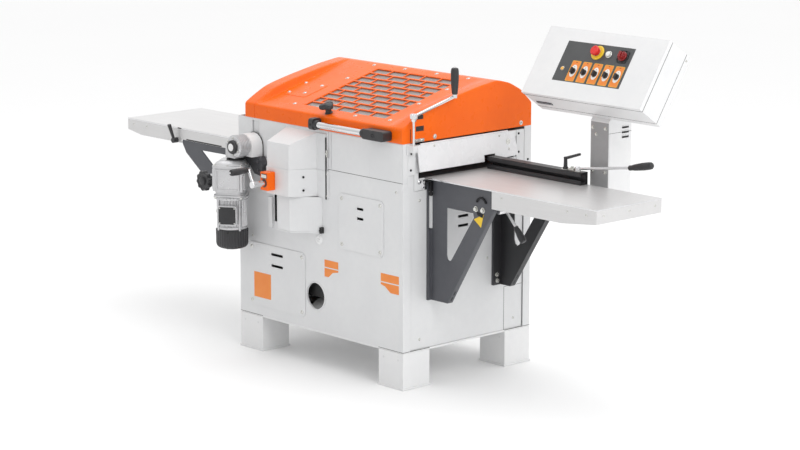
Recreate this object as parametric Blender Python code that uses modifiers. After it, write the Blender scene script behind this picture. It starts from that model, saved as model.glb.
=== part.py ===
"""Four-sided planing and jointing machine: cabinet on four legs, hinged orange hood, feed tables, control box.

Metres, +Z up. +X points to the infeed side, -Y to the operator. Every piece is its own named object.
"""
import math

import bmesh
import bpy
from mathutils import Matrix, Vector

# Driving dimensions
TABLE_Z = 0.85          # working surface
BODY_X = 0.51           # half length of the cabinet
BODY_Y = 0.358          # half width of the cabinet
LEG_H = 0.147
LEG_W = 0.145
SHEET = 0.004
GAP = 0.0003
HOOD_Z = 0.9963         # lower edge of the hood
HOOD_X0 = -0.465        # outfeed end of the hood
HOOD_Y = 0.360
HOOD_T = 0.003
LIP_Z = 1.056           # top of the front lip
PEAK_Y = 0.165
PEAK_Z = 1.200
FEED_Y0 = -0.232        # front edge of the infeed table
FEED_Y1 = 0.128         # rear edge of the infeed table
IN_END = 1.427          # infeed table end
OUT_END = -1.511        # outfeed table end
OUT_Y0 = -0.193
OUT_Y1 = 0.230
SKIRT = 0.056
TOP_T = 0.006
SEAM_Z = 0.8385         # joint between lower and upper front panel
WALL_Y = -BODY_Y
PED_X0, PED_X1 = 1.019, 1.115
PED_Y0, PED_Y1 = 0.168, 0.296
BOX_C = Vector((1.06, 0.1375, 1.3135))   # centre of the control door
BOX_W = 0.624
BOX_H = 0.298
BOX_D = 0.146
BOX_TILT = math.radians(33.7)            # door leans back from vertical
DOOR_T = 0.018
CRANK_X, CRANK_Y = 0.532, -0.322
DRIVE_X = -0.45                          # vertical axis of the feed motor
DRIVE_Y = WALL_Y - 0.09
OUT_SHAFT_X, OUT_SHAFT_Z = -0.396, 0.887
SIDE_X, SIDE_Z = -0.164, 0.770           # side adjustment screw
CUT_R = 0.045

for old in list(bpy.data.objects):
    bpy.data.objects.remove(old)

main = bpy.data.collections.new("four_sided_planer")
bpy.context.scene.collection.children.link(main)
cutters = bpy.data.collections.new("cutters")
cutters.hide_render = True
bpy.context.scene.collection.children.link(cutters)


def material(name, color, rough, metal):
    mat = bpy.data.materials.new(name)
    mat.use_nodes = True
    bsdf = mat.node_tree.nodes["Principled BSDF"]
    bsdf.inputs["Base Color"].default_value = (*color, 1.0)
    bsdf.inputs["Roughness"].default_value = rough
    bsdf.inputs["Metallic"].default_value = metal
    return mat


M = {
    "white": material("white_paint", (0.78, 0.79, 0.80), 0.38, 0.0),
    "orange": material("orange_paint", (0.90, 0.17, 0.015), 0.30, 0.0),
    "steel": material("table_steel", (0.60, 0.60, 0.60), 0.32, 0.9),
    "grey": material("grey_paint", (0.085, 0.088, 0.10), 0.45, 0.0),
    "black": material("black_plastic", (0.018, 0.018, 0.020), 0.42, 0.0),
    "alu": material("cast_aluminium", (0.55, 0.55, 0.56), 0.42, 0.85),
    "chrome": material("bright_steel", (0.75, 0.75, 0.76), 0.18, 1.0),
    "iron": material("cast_iron", (0.16, 0.16, 0.17), 0.5, 0.6),
    "red": material("red_plastic", (0.65, 0.01, 0.01), 0.35, 0.0),
    "ivory": material("ivory_plastic", (0.80, 0.80, 0.76), 0.35, 0.0),
    "guard": material("guard_paint", (0.80, 0.80, 0.81), 0.35, 0.0),
}


# Geometry: every function returns a list of (vertices, faces) shells
def box(x0, x1, y0, y1, z0, z1):
    v = [(x, y, z) for x in (x0, x1) for y in (y0, y1) for z in (z0, z1)]
    f = [(0, 1, 3, 2), (4, 6, 7, 5), (0, 4, 5, 1), (2, 3, 7, 6), (0, 2, 6, 4), (1, 5, 7, 3)]
    return [(v, f)]


def prism(points, axis, lo, hi):
    """Extrudes a polygon: axis x takes (y, z) points, axis y takes (x, z), axis z takes (x, y)."""
    place = {
        "x": lambda a, b, h: (h, a, b),
        "y": lambda a, b, h: (a, h, b),
        "z": lambda a, b, h: (a, b, h),
    }[axis]
    n = len(points)
    v = [place(a, b, lo) for a, b in points] + [place(a, b, hi) for a, b in points]
    f = [tuple(range(n)), tuple(range(2 * n - 1, n - 1, -1))]
    f += [(i, (i + 1) % n, n + (i + 1) % n, n + i) for i in range(n)]
    return [(v, f)]


def turned(base, direction, profile, n=24, start=0.0):
    """Solid of revolution: profile is (distance along the axis, radius), closed by end discs."""
    axis = Vector(direction).normalized()
    side = axis.orthogonal().normalized()
    if abs(axis.z) > 0.9:
        side = Vector((1, 0, 0))
    other = axis.cross(side)
    v, f = [], []
    for h, r in profile:
        for i in range(n):
            a = start + 2 * math.pi * i / n
            p = Vector(base) + axis * h + (side * math.cos(a) + other * math.sin(a)) * r
            v.append(tuple(p))
    for k in range(len(profile) - 1):
        for i in range(n):
            j = (i + 1) % n
            f.append((k * n + i, k * n + j, (k + 1) * n + j, (k + 1) * n + i))
    f.append(tuple(range(n - 1, -1, -1)))
    f.append(tuple(range((len(profile) - 1) * n, len(profile) * n)))
    return [(v, f)]


def rod(p0, p1, r, n=16, r1=None):
    p0, p1 = Vector(p0), Vector(p1)
    length = (p1 - p0).length
    return turned(p0, p1 - p0, [(0, r), (length, r if r1 is None else r1)], n)


def grip(p0, p1, r, n=16):
    """Barrel-shaped handle between two points."""
    p0, p1 = Vector(p0), Vector(p1)
    length = (p1 - p0).length
    shape = [(0, 0.62), (0.03, 0.72), (0.25, 0.86), (0.6, 1.0), (0.88, 0.98), (0.97, 0.86), (1.0, 0.62)]
    return turned(p0, p1 - p0, [(h * length, k * r) for h, k in shape], n)


def moved(shells, matrix):
    return [([tuple(matrix @ Vector(p)) for p in v], f) for v, f in shells]


def mesh_from(name, shells):
    bm = bmesh.new()
    for v, f in shells:
        made = [bm.verts.new(p) for p in v]
        for face in f:
            bm.faces.new([made[i] for i in face])
    bmesh.ops.recalc_face_normals(bm, faces=bm.faces)
    mesh = bpy.data.meshes.new(name)
    bm.to_mesh(mesh)
    bm.free()
    return mesh


root = bpy.data.objects.new("machine_origin", None)
main.objects.link(root)


def helper(name, shells):
    obj = bpy.data.objects.new(name, mesh_from(name, shells))
    obj.hide_render = True
    obj.display_type = "WIRE"
    cutters.objects.link(obj)
    obj.parent = root
    return obj


def piece(name, shell, mat, add=(), cut=(), pivot=None, smooth=False, bevel=0.0):
    """One solid: the first shell, joined with every shell in add, less every shell in cut."""
    at = Vector(pivot) if pivot else Vector()
    shift = Matrix.Translation(-at)
    obj = bpy.data.objects.new(name, mesh_from(name, moved(shell, shift)))
    obj.data.materials.append(M[mat])
    main.objects.link(obj)
    obj.parent = root
    obj.location = at
    for kind, shells in (("UNION", add), ("DIFFERENCE", cut)):
        for i, one in enumerate(shells):
            mod = obj.modifiers.new(f"{kind.lower()}_{i}", "BOOLEAN")
            mod.operation = kind
            mod.solver = "EXACT"
            mod.object = helper(f"{name}_{kind.lower()}_{i}", one)
    if bevel:
        weld = obj.modifiers.new("weld", "WELD")
        weld.merge_threshold = 0.00002
        mod = obj.modifiers.new("bevel", "BEVEL")
        mod.width = bevel
        mod.segments = 2
        mod.limit_method = "ANGLE"
        mod.angle_limit = math.radians(50)
    if smooth:
        for poly in obj.data.polygons:
            poly.use_smooth = True
    return obj


# ---------------------------------------------------------------- base frame: tray and four welded legs
legs = []
for sx in (-1, 1):
    for sy in (-1, 1):
        x0, x1 = sorted((sx * BODY_X, sx * (BODY_X - LEG_W)))
        y0, y1 = sorted((sy * BODY_Y, sy * (BODY_Y - LEG_W)))
        legs.append(box(x0, x1, y0, y1, 0.004, LEG_H + 0.002))
        legs.append(box(x0 - 0.004, x1 + 0.004, y0 - 0.004, y1 + 0.004, 0.0, 0.008))
piece("base_frame", box(-BODY_X + 0.002, BODY_X - 0.002, -BODY_Y + 0.002, BODY_Y - 0.002,
                        LEG_H, LEG_H + 0.008), "white", add=legs)
FLOOR_Z = LEG_H + 0.008 + GAP

# ---------------------------------------------------------------- cabinet walls
PORT_X, PORT_Z, PORT_R = -0.018, 0.299, 0.055
SCREW_R = 0.0075                         # clearance round the side adjustment screw
vents_low = [box(-0.300, -0.224, -1, 0, z - 0.006, z + 0.006) for z in (0.431, 0.383)]
vents_mid = [box(0.240, 0.280, -1, 0, z - 0.005, z + 0.005) for z in (0.703, 0.663)]
front_cuts = [turned((PORT_X, WALL_Y - 0.1, PORT_Z), (0, 1, 0), [(0, PORT_R), (0.2, PORT_R)], 32)]
front_cuts += [box(-0.41, -0.12, -0.40, -0.30, 0.235, 0.440), box(0.165, 0.36, -0.40, -0.30, 0.56, 0.72),
               box(-0.2795, -0.2640, -0.40, -0.30, 0.575, 0.690),
               turned((SIDE_X, -0.4, SIDE_Z), (0, 1, 0), [(0, SCREW_R), (0.1, SCREW_R)], 20)]
inner_y = BODY_Y - SHEET - GAP
piece("front_panel", box(-BODY_X, BODY_X, WALL_Y, WALL_Y + SHEET, FLOOR_Z, SEAM_Z), "white",
      add=[box(-BODY_X, -BODY_X + 0.004, WALL_Y, WALL_Y + 0.04, FLOOR_Z, SEAM_Z),
           box(BODY_X - 0.004, BODY_X, WALL_Y, WALL_Y + 0.04, FLOOR_Z, SEAM_Z)],
      cut=front_cuts)
piece("upper_front_panel", box(-BODY_X, BODY_X, WALL_Y, WALL_Y + SHEET, SEAM_Z + GAP, 0.996), "white",
      add=[box(-BODY_X, -BODY_X + 0.004, WALL_Y, WALL_Y + 0.04, SEAM_Z + GAP, 0.996),
           box(BODY_X - 0.004, BODY_X, WALL_Y, WALL_Y + 0.04, SEAM_Z + GAP, 0.996)],
      cut=[box(OUT_SHAFT_X - 0.022, OUT_SHAFT_X + 0.022, -0.40, -0.30, 0.855, 0.985)])
piece("rear_panel", box(-BODY_X, BODY_X, BODY_Y - SHEET, BODY_Y, FLOOR_Z, 0.996), "white",
      add=[box(-BODY_X, -BODY_X + 0.004, BODY_Y - 0.04, BODY_Y, FLOOR_Z, 0.996),
           box(BODY_X - 0.004, BODY_X, BODY_Y - 0.04, BODY_Y, FLOOR_Z, 0.996)],
      cut=[box(-0.25, 0.25, 0.3, 0.4, 0.25, 0.36)])
END_Y = BODY_Y - 0.04 - GAP
MOUTH = (-0.285, 0.262, 0.800, 1.05)
piece("infeed_end_panel", box(BODY_X - 0.010, BODY_X - 0.006, -END_Y, END_Y, FLOOR_Z, 0.985), "white",
      cut=[box(0.4, 0.6, MOUTH[0], MOUTH[1], MOUTH[2], 0.960)]
      + [box(0.4, 0.6, -0.050, 0.006, z - 0.005, z + 0.005) for z in (0.667, 0.628)])
piece("outfeed_end_panel", box(-BODY_X + 0.006, -BODY_X + 0.010, -END_Y, END_Y, FLOOR_Z, 0.985), "white",
      cut=[box(-0.6, -0.4, -0.262, 0.285, 0.800, 0.960)])

# ---------------------------------------------------------------- bed casting with two head columns
COL = [(0.40, 0.302), (-0.40, 0.302)]
bed_add = [turned((x, y, 0.70), (0, 0, 1), [(0, 0.018), (0.285, 0.018)], 24) for x, y in COL]
bed_add += [box(-0.44, 0.44, 0.225, 0.325, 0.700, 0.760),
            box(-0.44, 0.44, -0.315, -0.250, 0.700, 0.760),
            box(0.40, 0.44, -0.30, 0.31, 0.700, 0.760),
            box(-0.44, -0.40, -0.30, 0.31, 0.700, 0.760),
            box(-0.44, 0.44, 0.225, 0.240, 0.75, 0.8465),
            box(-0.44, 0.44, -0.265, -0.250, 0.75, 0.8465),
            box(0.43, 0.44, -0.26, 0.24, 0.75, 0.84), box(-0.44, -0.43, -0.26, 0.24, 0.75, 0.84)]
piece("bed_casting", box(-0.499, 0.499, -0.270, 0.240, 0.836, TABLE_Z), "iron", add=bed_add,
      cut=[box(0.120 - 0.055, 0.120 + 0.055, -0.245, 0.215, 0.77, 0.9),
           box(-0.215, -0.115, 0.128, 0.2235, 0.77, 0.9),
           box(-0.335, -0.225, -0.249, 0.005, 0.77, 0.9),
           turned((SIDE_X, -0.33, SIDE_Z), (0, 1, 0), [(0, 0.0078), (0.1, 0.0078)], 20)])

# ---------------------------------------------------------------- feed tables
in_y = (FEED_Y0, FEED_Y1)
INX = BODY_X + 0.002
T_BOT = TABLE_Z - SKIRT
piece("infeed_table", box(INX - 0.010, IN_END, in_y[0], in_y[1], TABLE_Z - TOP_T, TABLE_Z), "steel",
      add=[prism([(0.900, 0.775), (1.250, 0.775), (IN_END, T_BOT), (IN_END, TABLE_Z - 0.001),
                  (0.876, TABLE_Z - 0.001), (0.876, 0.776), (0.878, 0.775)], "y", in_y[0], in_y[0] + 0.004),
           box(INX + 0.02, IN_END, in_y[1] - 0.004, in_y[1], T_BOT, TABLE_Z - 0.001),
           box(IN_END - 0.004, IN_END, in_y[0], in_y[1], T_BOT, TABLE_Z - 0.001),
           box(1.10, 1.14, in_y[0] + 0.003, in_y[1] - 0.003, T_BOT + 0.014, TABLE_Z - 0.001)])
OX = -INX
piece("outfeed_table", box(OUT_END, OX + 0.010, OUT_Y0, OUT_Y1, TABLE_Z - TOP_T, TABLE_Z), "steel",
      add=[prism([(OUT_END, T_BOT + 0.004), (OUT_END + 0.10, T_BOT - 0.012), (-1.12, T_BOT - 0.012),
                  (-1.12, T_BOT + 0.004), (OX - 0.02, T_BOT + 0.004), (OX - 0.02, TABLE_Z - 0.001),
                  (OUT_END, TABLE_Z - 0.001)], "y", OUT_Y0, OUT_Y0 + 0.004),
           box(OUT_END, OX - 0.02, OUT_Y1 - 0.004, OUT_Y1, T_BOT + 0.004, TABLE_Z - 0.001),
           box(OUT_END, OUT_END + 0.004, OUT_Y0, OUT_Y1, T_BOT + 0.004, TABLE_Z - 0.001)])

# ---------------------------------------------------------------- table brackets
def gusset(name, outline, hole, y0, y1, mat, flange, cut=()):
    piece(name, prism(outline, "y", y0, y1), mat, add=flange, cut=[prism(hole, "y", y0 - 0.05, y1 + 0.05), *cut])


def flange_strip(low, high, y0, depth):
    """Return flange along the sloping edge of a bracket, from its low point to its high one."""
    slope = Vector((high[0] - low[0], high[1] - low[1])).normalized()
    inward = Vector((-slope.y, slope.x)) * 0.005
    return prism([high, low, tuple(Vector(low) + inward), tuple(Vector(high) + inward)], "y", y0, y0 + depth)


BX = BODY_X + GAP
fb_top = TABLE_Z - TOP_T - GAP
FB_Y = -0.210            # outer face of the front bracket
FB_LOW, FB_HIGH = (0.610, 0.3515), (0.861, 0.762)
gusset("infeed_bracket_front",
       [(BX, fb_top), (FB_HIGH[0], fb_top), FB_HIGH, FB_LOW, (BX, FB_LOW[1])],
       [(0.602, 0.738), (0.602, 0.546), (0.607, 0.531), (0.618, 0.525), (0.630, 0.531), (0.757, 0.722),
        (0.752, 0.738)],
       FB_Y, FB_Y + 0.006, "grey",
       [box(BX, BX + 0.006, FB_Y - 0.016, FB_Y + 0.040, FB_LOW[1], 0.640),
        box(BX, BX + 0.006, FB_Y, FB_Y + 0.040, 0.630, fb_top),
        box(BX, FB_HIGH[0], FB_Y, FB_Y + 0.045, fb_top - 0.006, fb_top),
        flange_strip(FB_LOW, FB_HIGH, FB_Y, 0.028)])
RB_Y = 0.180             # outer face of the rear bracket
rb_top = T_BOT - GAP
RB_LOW, RB_HIGH = (0.5715, 0.3556), (0.8137, 0.730)
gusset("infeed_bracket_rear",
       [(BX, rb_top), (0.855, rb_top), RB_LOW, (BX, RB_LOW[1])],
       [(0.590, 0.740), (0.590, 0.553), (0.596, 0.537), (0.608, 0.529), (0.622, 0.537), (0.745, 0.722),
        (0.740, 0.740)],
       RB_Y, RB_Y + 0.006, "black",
       [box(BX, BX + 0.006, RB_Y - 0.040, RB_Y + 0.006, RB_LOW[1], rb_top),
        box(BX, 0.855, 0.090, RB_Y + 0.006, rb_top - 0.006, rb_top),
        flange_strip(RB_LOW, RB_HIGH, RB_Y, 0.028)])
ob_top = TABLE_Z - TOP_T - GAP
for tag, y0 in (("front", OUT_Y0 + 0.004 + GAP), ("rear", OUT_Y1 - 0.004 - GAP - 0.006)):
    ox = -BX
    gusset(f"outfeed_brace_{tag}",
           [(ox, ob_top), (-1.105, ob_top), (-1.118, 0.785), (-1.090, 0.742), (ox - 0.14, 0.430), (ox, 0.400)],
           [(ox - 0.07, 0.770), (ox - 0.07, 0.520), (ox - 0.115, 0.505), (-0.980, 0.765)],
           y0, y0 + 0.006, "grey",
           [box(ox - 0.006, ox, y0, y0 + 0.045, 0.400, ob_top)] if tag == "front" else
           [box(ox - 0.006, ox, y0 - 0.039, y0 + 0.006, 0.400, ob_top)])

# ---------------------------------------------------------------- access panels
def cover_plate(name, x0, x1, z0, z1, slots):
    c = 0.014
    outline = [(x0 + c, z0), (x1 - c, z0), (x1, z0 + c), (x1, z1 - c), (x1 - c, z1), (x0 + c, z1),
               (x0, z1 - c), (x0, z0 + c)]
    y1 = WALL_Y - GAP
    heads = [turned((x, y1 - 0.002, z), (0, -1, 0), [(-0.001, 0.0055), (0.0022, 0.0045)], 10)
             for x in (x0 + 0.02, x1 - 0.02) for z in (z0 + 0.02, z1 - 0.02)]
    piece(name, prism(outline, "y", y1 - 0.003, y1), "white", add=heads, cut=slots)


cover_plate("access_panel_low", -0.447, -0.084, 0.196, 0.468, vents_low)
cover_plate("access_panel_mid", 0.128, 0.398, 0.524, 0.753, vents_mid)

# ---------------------------------------------------------------- drive covers on the front wall
CV_Y = WALL_Y - GAP
cover_plan = [(-0.195, CV_Y), (-0.195, WALL_Y - 0.107), (-0.058, WALL_Y - 0.107), (0.000, CV_Y - 0.006),
              (0.060, CV_Y - 0.006), (0.060, CV_Y)]
ct = 0.003
hollow_plan = [(-0.195 + ct, CV_Y + 0.01), (-0.195 + ct, WALL_Y - 0.107 + ct),
               (-0.058 - 0.001, WALL_Y - 0.107 + ct), (-0.006, CV_Y - 0.004), (-0.006, CV_Y + 0.01)]
roof = prism([(WALL_Y - 0.2, 0.842), (WALL_Y - 0.2, 1.1), (0.0, 1.1), (0.0, 0.985 + 0.36 * 0.46),
              (CV_Y, 0.985), (WALL_Y - 0.107, 0.936)], "x", -0.3, 0.1)
hollow_roof = prism([(WALL_Y - 0.104, 0.70), (WALL_Y + 0.02, 0.70), (WALL_Y + 0.02, 0.975),
                     (WALL_Y - 0.104, 0.932)], "x", -0.192, -0.058)
piece("drive_cover", prism(cover_plan, "z", 0.720, 0.990), "white",
      cut=[prism(hollow_plan, "z", 0.70, 0.928), roof,
           turned((SIDE_X, -0.5, SIDE_Z), (0, 1, 0), [(0, SCREW_R), (0.1, SCREW_R)], 20)])
low_plan = [(-0.150, CV_Y), (-0.150, WALL_Y - 0.092), (-0.072, WALL_Y - 0.092), (0.014, CV_Y - 0.016),
            (0.026, CV_Y)]
low_hollow = [(-0.147, CV_Y + 0.01), (-0.147, WALL_Y - 0.089), (-0.074, WALL_Y - 0.089), (0.010, CV_Y - 0.014),
              (0.020, CV_Y + 0.01)]
piece("drive_cover_lower", prism(low_plan, "z", 0.570, 0.7197), "white",
      cut=[prism(low_hollow, "z", 0.573, 0.800)])

# ---------------------------------------------------------------- side adjustment: counter, crank, carriage, spindle
COVER_Y = WALL_Y - 0.107                 # face of the drive cover, which carries the counter
cn_y0, cn_y1 = COVER_Y - 0.043, COVER_Y - 0.003
piece("position_counter", box(SIDE_X - 0.023, SIDE_X + 0.023, cn_y0, cn_y1, SIDE_Z - 0.030, SIDE_Z + 0.045),
      "orange", add=[turned((SIDE_X, cn_y1 - 0.002, SIDE_Z), (0, 1, 0), [(0, 0.013), (0.005 - GAP, 0.013)], 20)],
      cut=[turned((SIDE_X, -0.6, SIDE_Z), (0, 1, 0), [(0, SCREW_R), (0.2, SCREW_R)], 20)], bevel=0.003)

sc_y = cn_y0 - 0.001
arm_dir = Vector((-0.029, 0, 0.057)).normalized()
arm_end = Vector((SIDE_X, 0, SIDE_Z)) + arm_dir * 0.064
piece("side_crank", turned((SIDE_X, sc_y, SIDE_Z), (0, -1, 0), [(0, 0.013), (0.040, 0.013), (0.058, 0.016),
                                                             (0.064, 0.014)], 20), "chrome",
      add=[turned((SIDE_X, -0.240, SIDE_Z), (0, -1, 0), [(0, 0.007), (-0.240 - sc_y + 0.002, 0.007)], 20),
           rod((SIDE_X, sc_y - 0.055, SIDE_Z), (arm_end.x, sc_y - 0.055, arm_end.z), 0.006, 12),
           rod((arm_end.x, sc_y - 0.047, arm_end.z), (arm_end.x, sc_y - 0.153, arm_end.z), 0.004, 12)],
      pivot=(SIDE_X, sc_y, SIDE_Z))
piece("side_crank_grip", grip((arm_end.x, sc_y - 0.0625, arm_end.z), (arm_end.x, sc_y - 0.150, arm_end.z), 0.0145),
      "black", cut=[rod((arm_end.x, sc_y - 0.04, arm_end.z), (arm_end.x, sc_y - 0.19, arm_end.z), 0.0043, 12)],
      pivot=(arm_end.x, sc_y - 0.0625, arm_end.z))

# ---------------------------------------------------------------- hood
def hood_line(arch):
    """Outline of the hood's section, front lip to rear lip; arch 0 is flat, 1 is the raised end."""
    flat = [(-0.330, 1.0642), (-0.285, 1.0766), (-0.243, 1.0882), (-0.150, 1.1138), (-0.043, 1.1430),
            (0.060, 1.1713)]
    high = [(-0.330, 1.0740), (-0.285, 1.0980), (-0.243, 1.1170), (-0.150, 1.1420), (-0.043, 1.1650),
            (0.060, 1.1850)]
    mid = [(a[0], a[1] + (b[1] - a[1]) * arch) for a, b in zip(flat, high)]
    return ([(-HOOD_Y, HOOD_Z), (-HOOD_Y, LIP_Z)] + mid
            + [(PEAK_Y, PEAK_Z), (0.235, 1.182), (0.297, 1.150), (HOOD_Y, 1.092), (HOOD_Y, HOOD_Z)])


def loft(stations):
    """Closed solid through equal-length (y, z) outlines at each x."""
    n = len(stations[0][1])
    v = [(x, y, z) for x, line in stations for y, z in line]
    f = [tuple(range(n)), tuple(range(len(v) - 1, len(v) - n - 1, -1))]
    for k in range(len(stations) - 1):
        for i in range(n):
            j = (i + 1) % n
            f.append((k * n + i, k * n + j, (k + 1) * n + j, (k + 1) * n + i))
    return [(v, f)]


def inset(line, t):
    pts = [Vector(p) for p in line]
    out = []
    for i, p in enumerate(pts):
        a = (p - pts[i - 1]).normalized() if i else None
        b = (pts[i + 1] - p).normalized() if i < len(pts) - 1 else None
        a = a or b
        b = b or a
        n0, n1 = Vector((a.y, -a.x)), Vector((b.y, -b.x))
        bis = (n0 + n1).normalized()
        out.append(tuple(p + bis * (t / bis.dot(n0))))
    return out


RIM_X = -0.383
WIN = (-0.155, 0.340, -0.300, 0.112)
stations = [(HOOD_X0, 1), (RIM_X - 0.012, 1), (RIM_X, 0), (0.40, 0), (0.475, 1), (BODY_X, 1)]
inner_stations = [(HOOD_X0 + HOOD_T, 1), (RIM_X - 0.012, 1), (RIM_X, 0), (0.40, 0), (0.475, 1),
                  (BODY_X - HOOD_T, 1)]


def lowered(line):
    low = inset(line, HOOD_T)
    low[0] = (low[0][0], HOOD_Z - 0.02)
    low[-1] = (low[-1][0], HOOD_Z - 0.02)
    return low


hood_outer = loft([(x, hood_line(a)) for x, a in stations])
hood_inner = loft([(x, lowered(hood_line(a))) for x, a in inner_stations])
piece("hood_shell", hood_outer, "orange",
      cut=[hood_inner, box(WIN[0], WIN[1], WIN[2], WIN[3], 1.03, 1.25)],
      pivot=(0.0, HOOD_Y + 0.004, 0.9955))

SLOPE = (PEAK_Z - LIP_Z) / (PEAK_Y + HOOD_Y)


def plane_z(y, below=0.0):
    return LIP_Z + SLOPE * (y + HOOD_Y) - below * math.sqrt(1 + SLOPE * SLOPE)


g_y0, g_y1 = WIN[2] - 0.012, WIN[3] + 0.012
g_top, g_bot = HOOD_T + GAP, HOOD_T + GAP + 0.002
rows, cols = 9, 5
pitch_y = (WIN[3] - WIN[2]) / rows
pitch_x = (WIN[1] - WIN[0]) / cols
slots = []
for r in range(rows):
    ya = WIN[2] + r * pitch_y + 0.004
    yb = WIN[2] + (r + 1) * pitch_y - 0.004
    shift = 0.0 if r % 2 == 0 else 0.5
    edges = [WIN[0] + (c + shift) * pitch_x for c in range(cols + 1)]
    if shift:
        edges = [WIN[0]] + edges[:-1] + [WIN[1]]
    for xa, xb in zip(edges[:-1], edges[1:]):
        slots += box(xa + 0.003, xb - 0.003, ya, yb, 1.0, 1.25)
grate = prism([(g_y0, plane_z(g_y0, g_top)), (g_y1, plane_z(g_y1, g_top)),
               (g_y1, plane_z(g_y1, g_bot)), (g_y0, plane_z(g_y0, g_bot))], "x", WIN[0] - 0.012, WIN[1] + 0.012)
piece("hood_grate", grate, "orange", cut=[slots], pivot=(0.0, HOOD_Y + 0.004, 0.9955))

H_Y, H_Z = -0.391, 1.022
piece("hood_handle", turned((0.020, H_Y, H_Z), (1, 0, 0), [(0, 0.0130), (0.31, 0.0130)], 20), "chrome",
      add=[box(0.002, 0.032, H_Y - 0.018, -HOOD_Y - GAP, H_Z - 0.022, H_Z + 0.024),
           box(0.312, 0.448, H_Y - 0.018, -HOOD_Y - GAP, H_Z - 0.020, H_Z + 0.020)],
      cut=[turned((0.385, -0.45, H_Z), (0, 1, 0), [(0, 0.009), (0.052, 0.009)], 16)],
      pivot=(0.0, HOOD_Y + 0.004, 0.9955))
nrm = Vector((0, -SLOPE, 1)).normalized()
kb = Vector((0.040, -0.332, plane_z(-0.332))) + nrm * GAP
knob_prof = [(0, 0.012), (0.018, 0.012), (0.022, 0.022), (0.034, 0.022), (0.038, 0.014)]
piece("hood_knob", turned(kb, nrm, knob_prof, 20), "black",
      add=[rod(kb + nrm * 0.026 + Vector((-0.038, 0, 0)), kb + nrm * 0.026 + Vector((0.038, 0, 0)), 0.008, 12)],
      pivot=kb)

# ---------------------------------------------------------------- head: carriage, rollers, top cutterhead, drive
CHEEK = 0.256
ROLL_Z = 0.912
ROLL_R = 0.036
HEAD_X = -0.02
shaft_hole = 0.0123
roller_x = (0.300, OUT_SHAFT_X + 0.012)
cheeks = [box(-0.425, 0.345, s * CHEEK - 0.006, s * CHEEK + 0.006, 0.886, 0.952) for s in (-1, 1)]
arms = [box(0.30, 0.43, 0.24, 0.33, 0.9505, 0.962), box(-0.43, -0.30, 0.24, 0.33, 0.9505, 0.962)]
holes = [turned((x, -0.29, z), (0, 1, 0), [(0, shaft_hole), (0.58, shaft_hole)], 24)
         for x, z in ((roller_x[0], ROLL_Z), (roller_x[1], OUT_SHAFT_Z + 0.020), (HEAD_X, 0.918))]
piece("head_carriage", box(-0.425, 0.345, -0.262, 0.262, 0.9505, 0.962), "iron", add=cheeks + arms,
      cut=holes + [turned((x, y, 0.9), (0, 0, 1), [(0, 0.0183), (0.2, 0.0183)], 24) for x, y in COL]
      + [box(-0.12, 0.08, -0.24, 0.24, 0.94, 0.98)],
      pivot=(0.0, 0.0, 0.956))
half = CHEEK - 0.006 - 0.004
piece("feed_roller_front", turned((roller_x[0], -0.272, ROLL_Z), (0, 1, 0),
                                  [(0, 0.012), (0.272 - half, 0.012), (0.272 - half + 0.0001, ROLL_R),
                                   (0.272 + half, ROLL_R), (0.272 + half + 0.0001, 0.012), (0.544, 0.012)], 24),
      "alu", pivot=(roller_x[0], 0.0, ROLL_Z))
rz = OUT_SHAFT_Z + 0.020
piece("feed_roller_rear", turned((roller_x[1], -0.272, rz), (0, 1, 0),
                                 [(0, 0.012), (0.272 - half, 0.012), (0.272 - half + 0.0001, 0.031),
                                  (0.272 + half, 0.031), (0.272 + half + 0.0001, 0.012), (0.544, 0.012)], 24),
      "alu", pivot=(roller_x[1], 0.0, rz))


def cutterhead(name, base, direction, length, shaft, r):
    """Drum with three gullets and its two journals."""
    axis = Vector(direction)
    side = Vector((1, 0, 0)) if abs(axis.x) < 0.5 else Vector((0, 1, 0))
    other = axis.cross(side)
    b = Vector(base)
    prof = [(-shaft, 0.012), (0, 0.012), (0.0001, r), (length, r), (length + 0.0001, 0.012),
            (length + shaft, 0.012)]
    gullets = []
    for k in range(3):
        a = math.radians(120 * k + 20)
        out = side * math.cos(a) + other * math.sin(a)
        c = b + out * (r + 0.004) - axis * 0.003
        gullets.append(turned(c, axis, [(0, 0.012), (length + 0.006, 0.012)], 12))
    piece(name, turned(b, axis, prof, 30), "chrome", cut=gullets, pivot=b)


cutterhead("top_cutterhead", (HEAD_X, -0.235, 0.918), (0, 1, 0), 0.470, 0.037, CUT_R)
cutterhead("bottom_cutterhead", (0.120, -0.238, 0.8045), (0, 1, 0), 0.446, 0.006, CUT_R)
cutterhead("inner_side_spindle", (-0.165, 0.176, 0.7800), (0, 0, 1), 0.090, 0.030, 0.040)
SP_X, SP_Y = -0.280, -0.190
cutterhead("outer_side_spindle", (SP_X, SP_Y, 0.7800), (0, 0, 1), 0.090, 0.030, 0.040)
piece("side_carriage", box(SP_X - 0.045, SP_X + 0.135, SP_Y - 0.035, SP_Y + 0.045, 0.700, 0.7495), "iron",
      add=[box(SIDE_X - 0.020, SIDE_X + 0.019, SP_Y - 0.035, SP_Y + 0.010, 0.745, 0.790)],
      cut=[turned((SP_X, SP_Y, 0.69), (0, 0, 1), [(0, 0.0123), (0.1, 0.0123)], 24)],
      pivot=(SP_X, SP_Y, 0.72))

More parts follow.
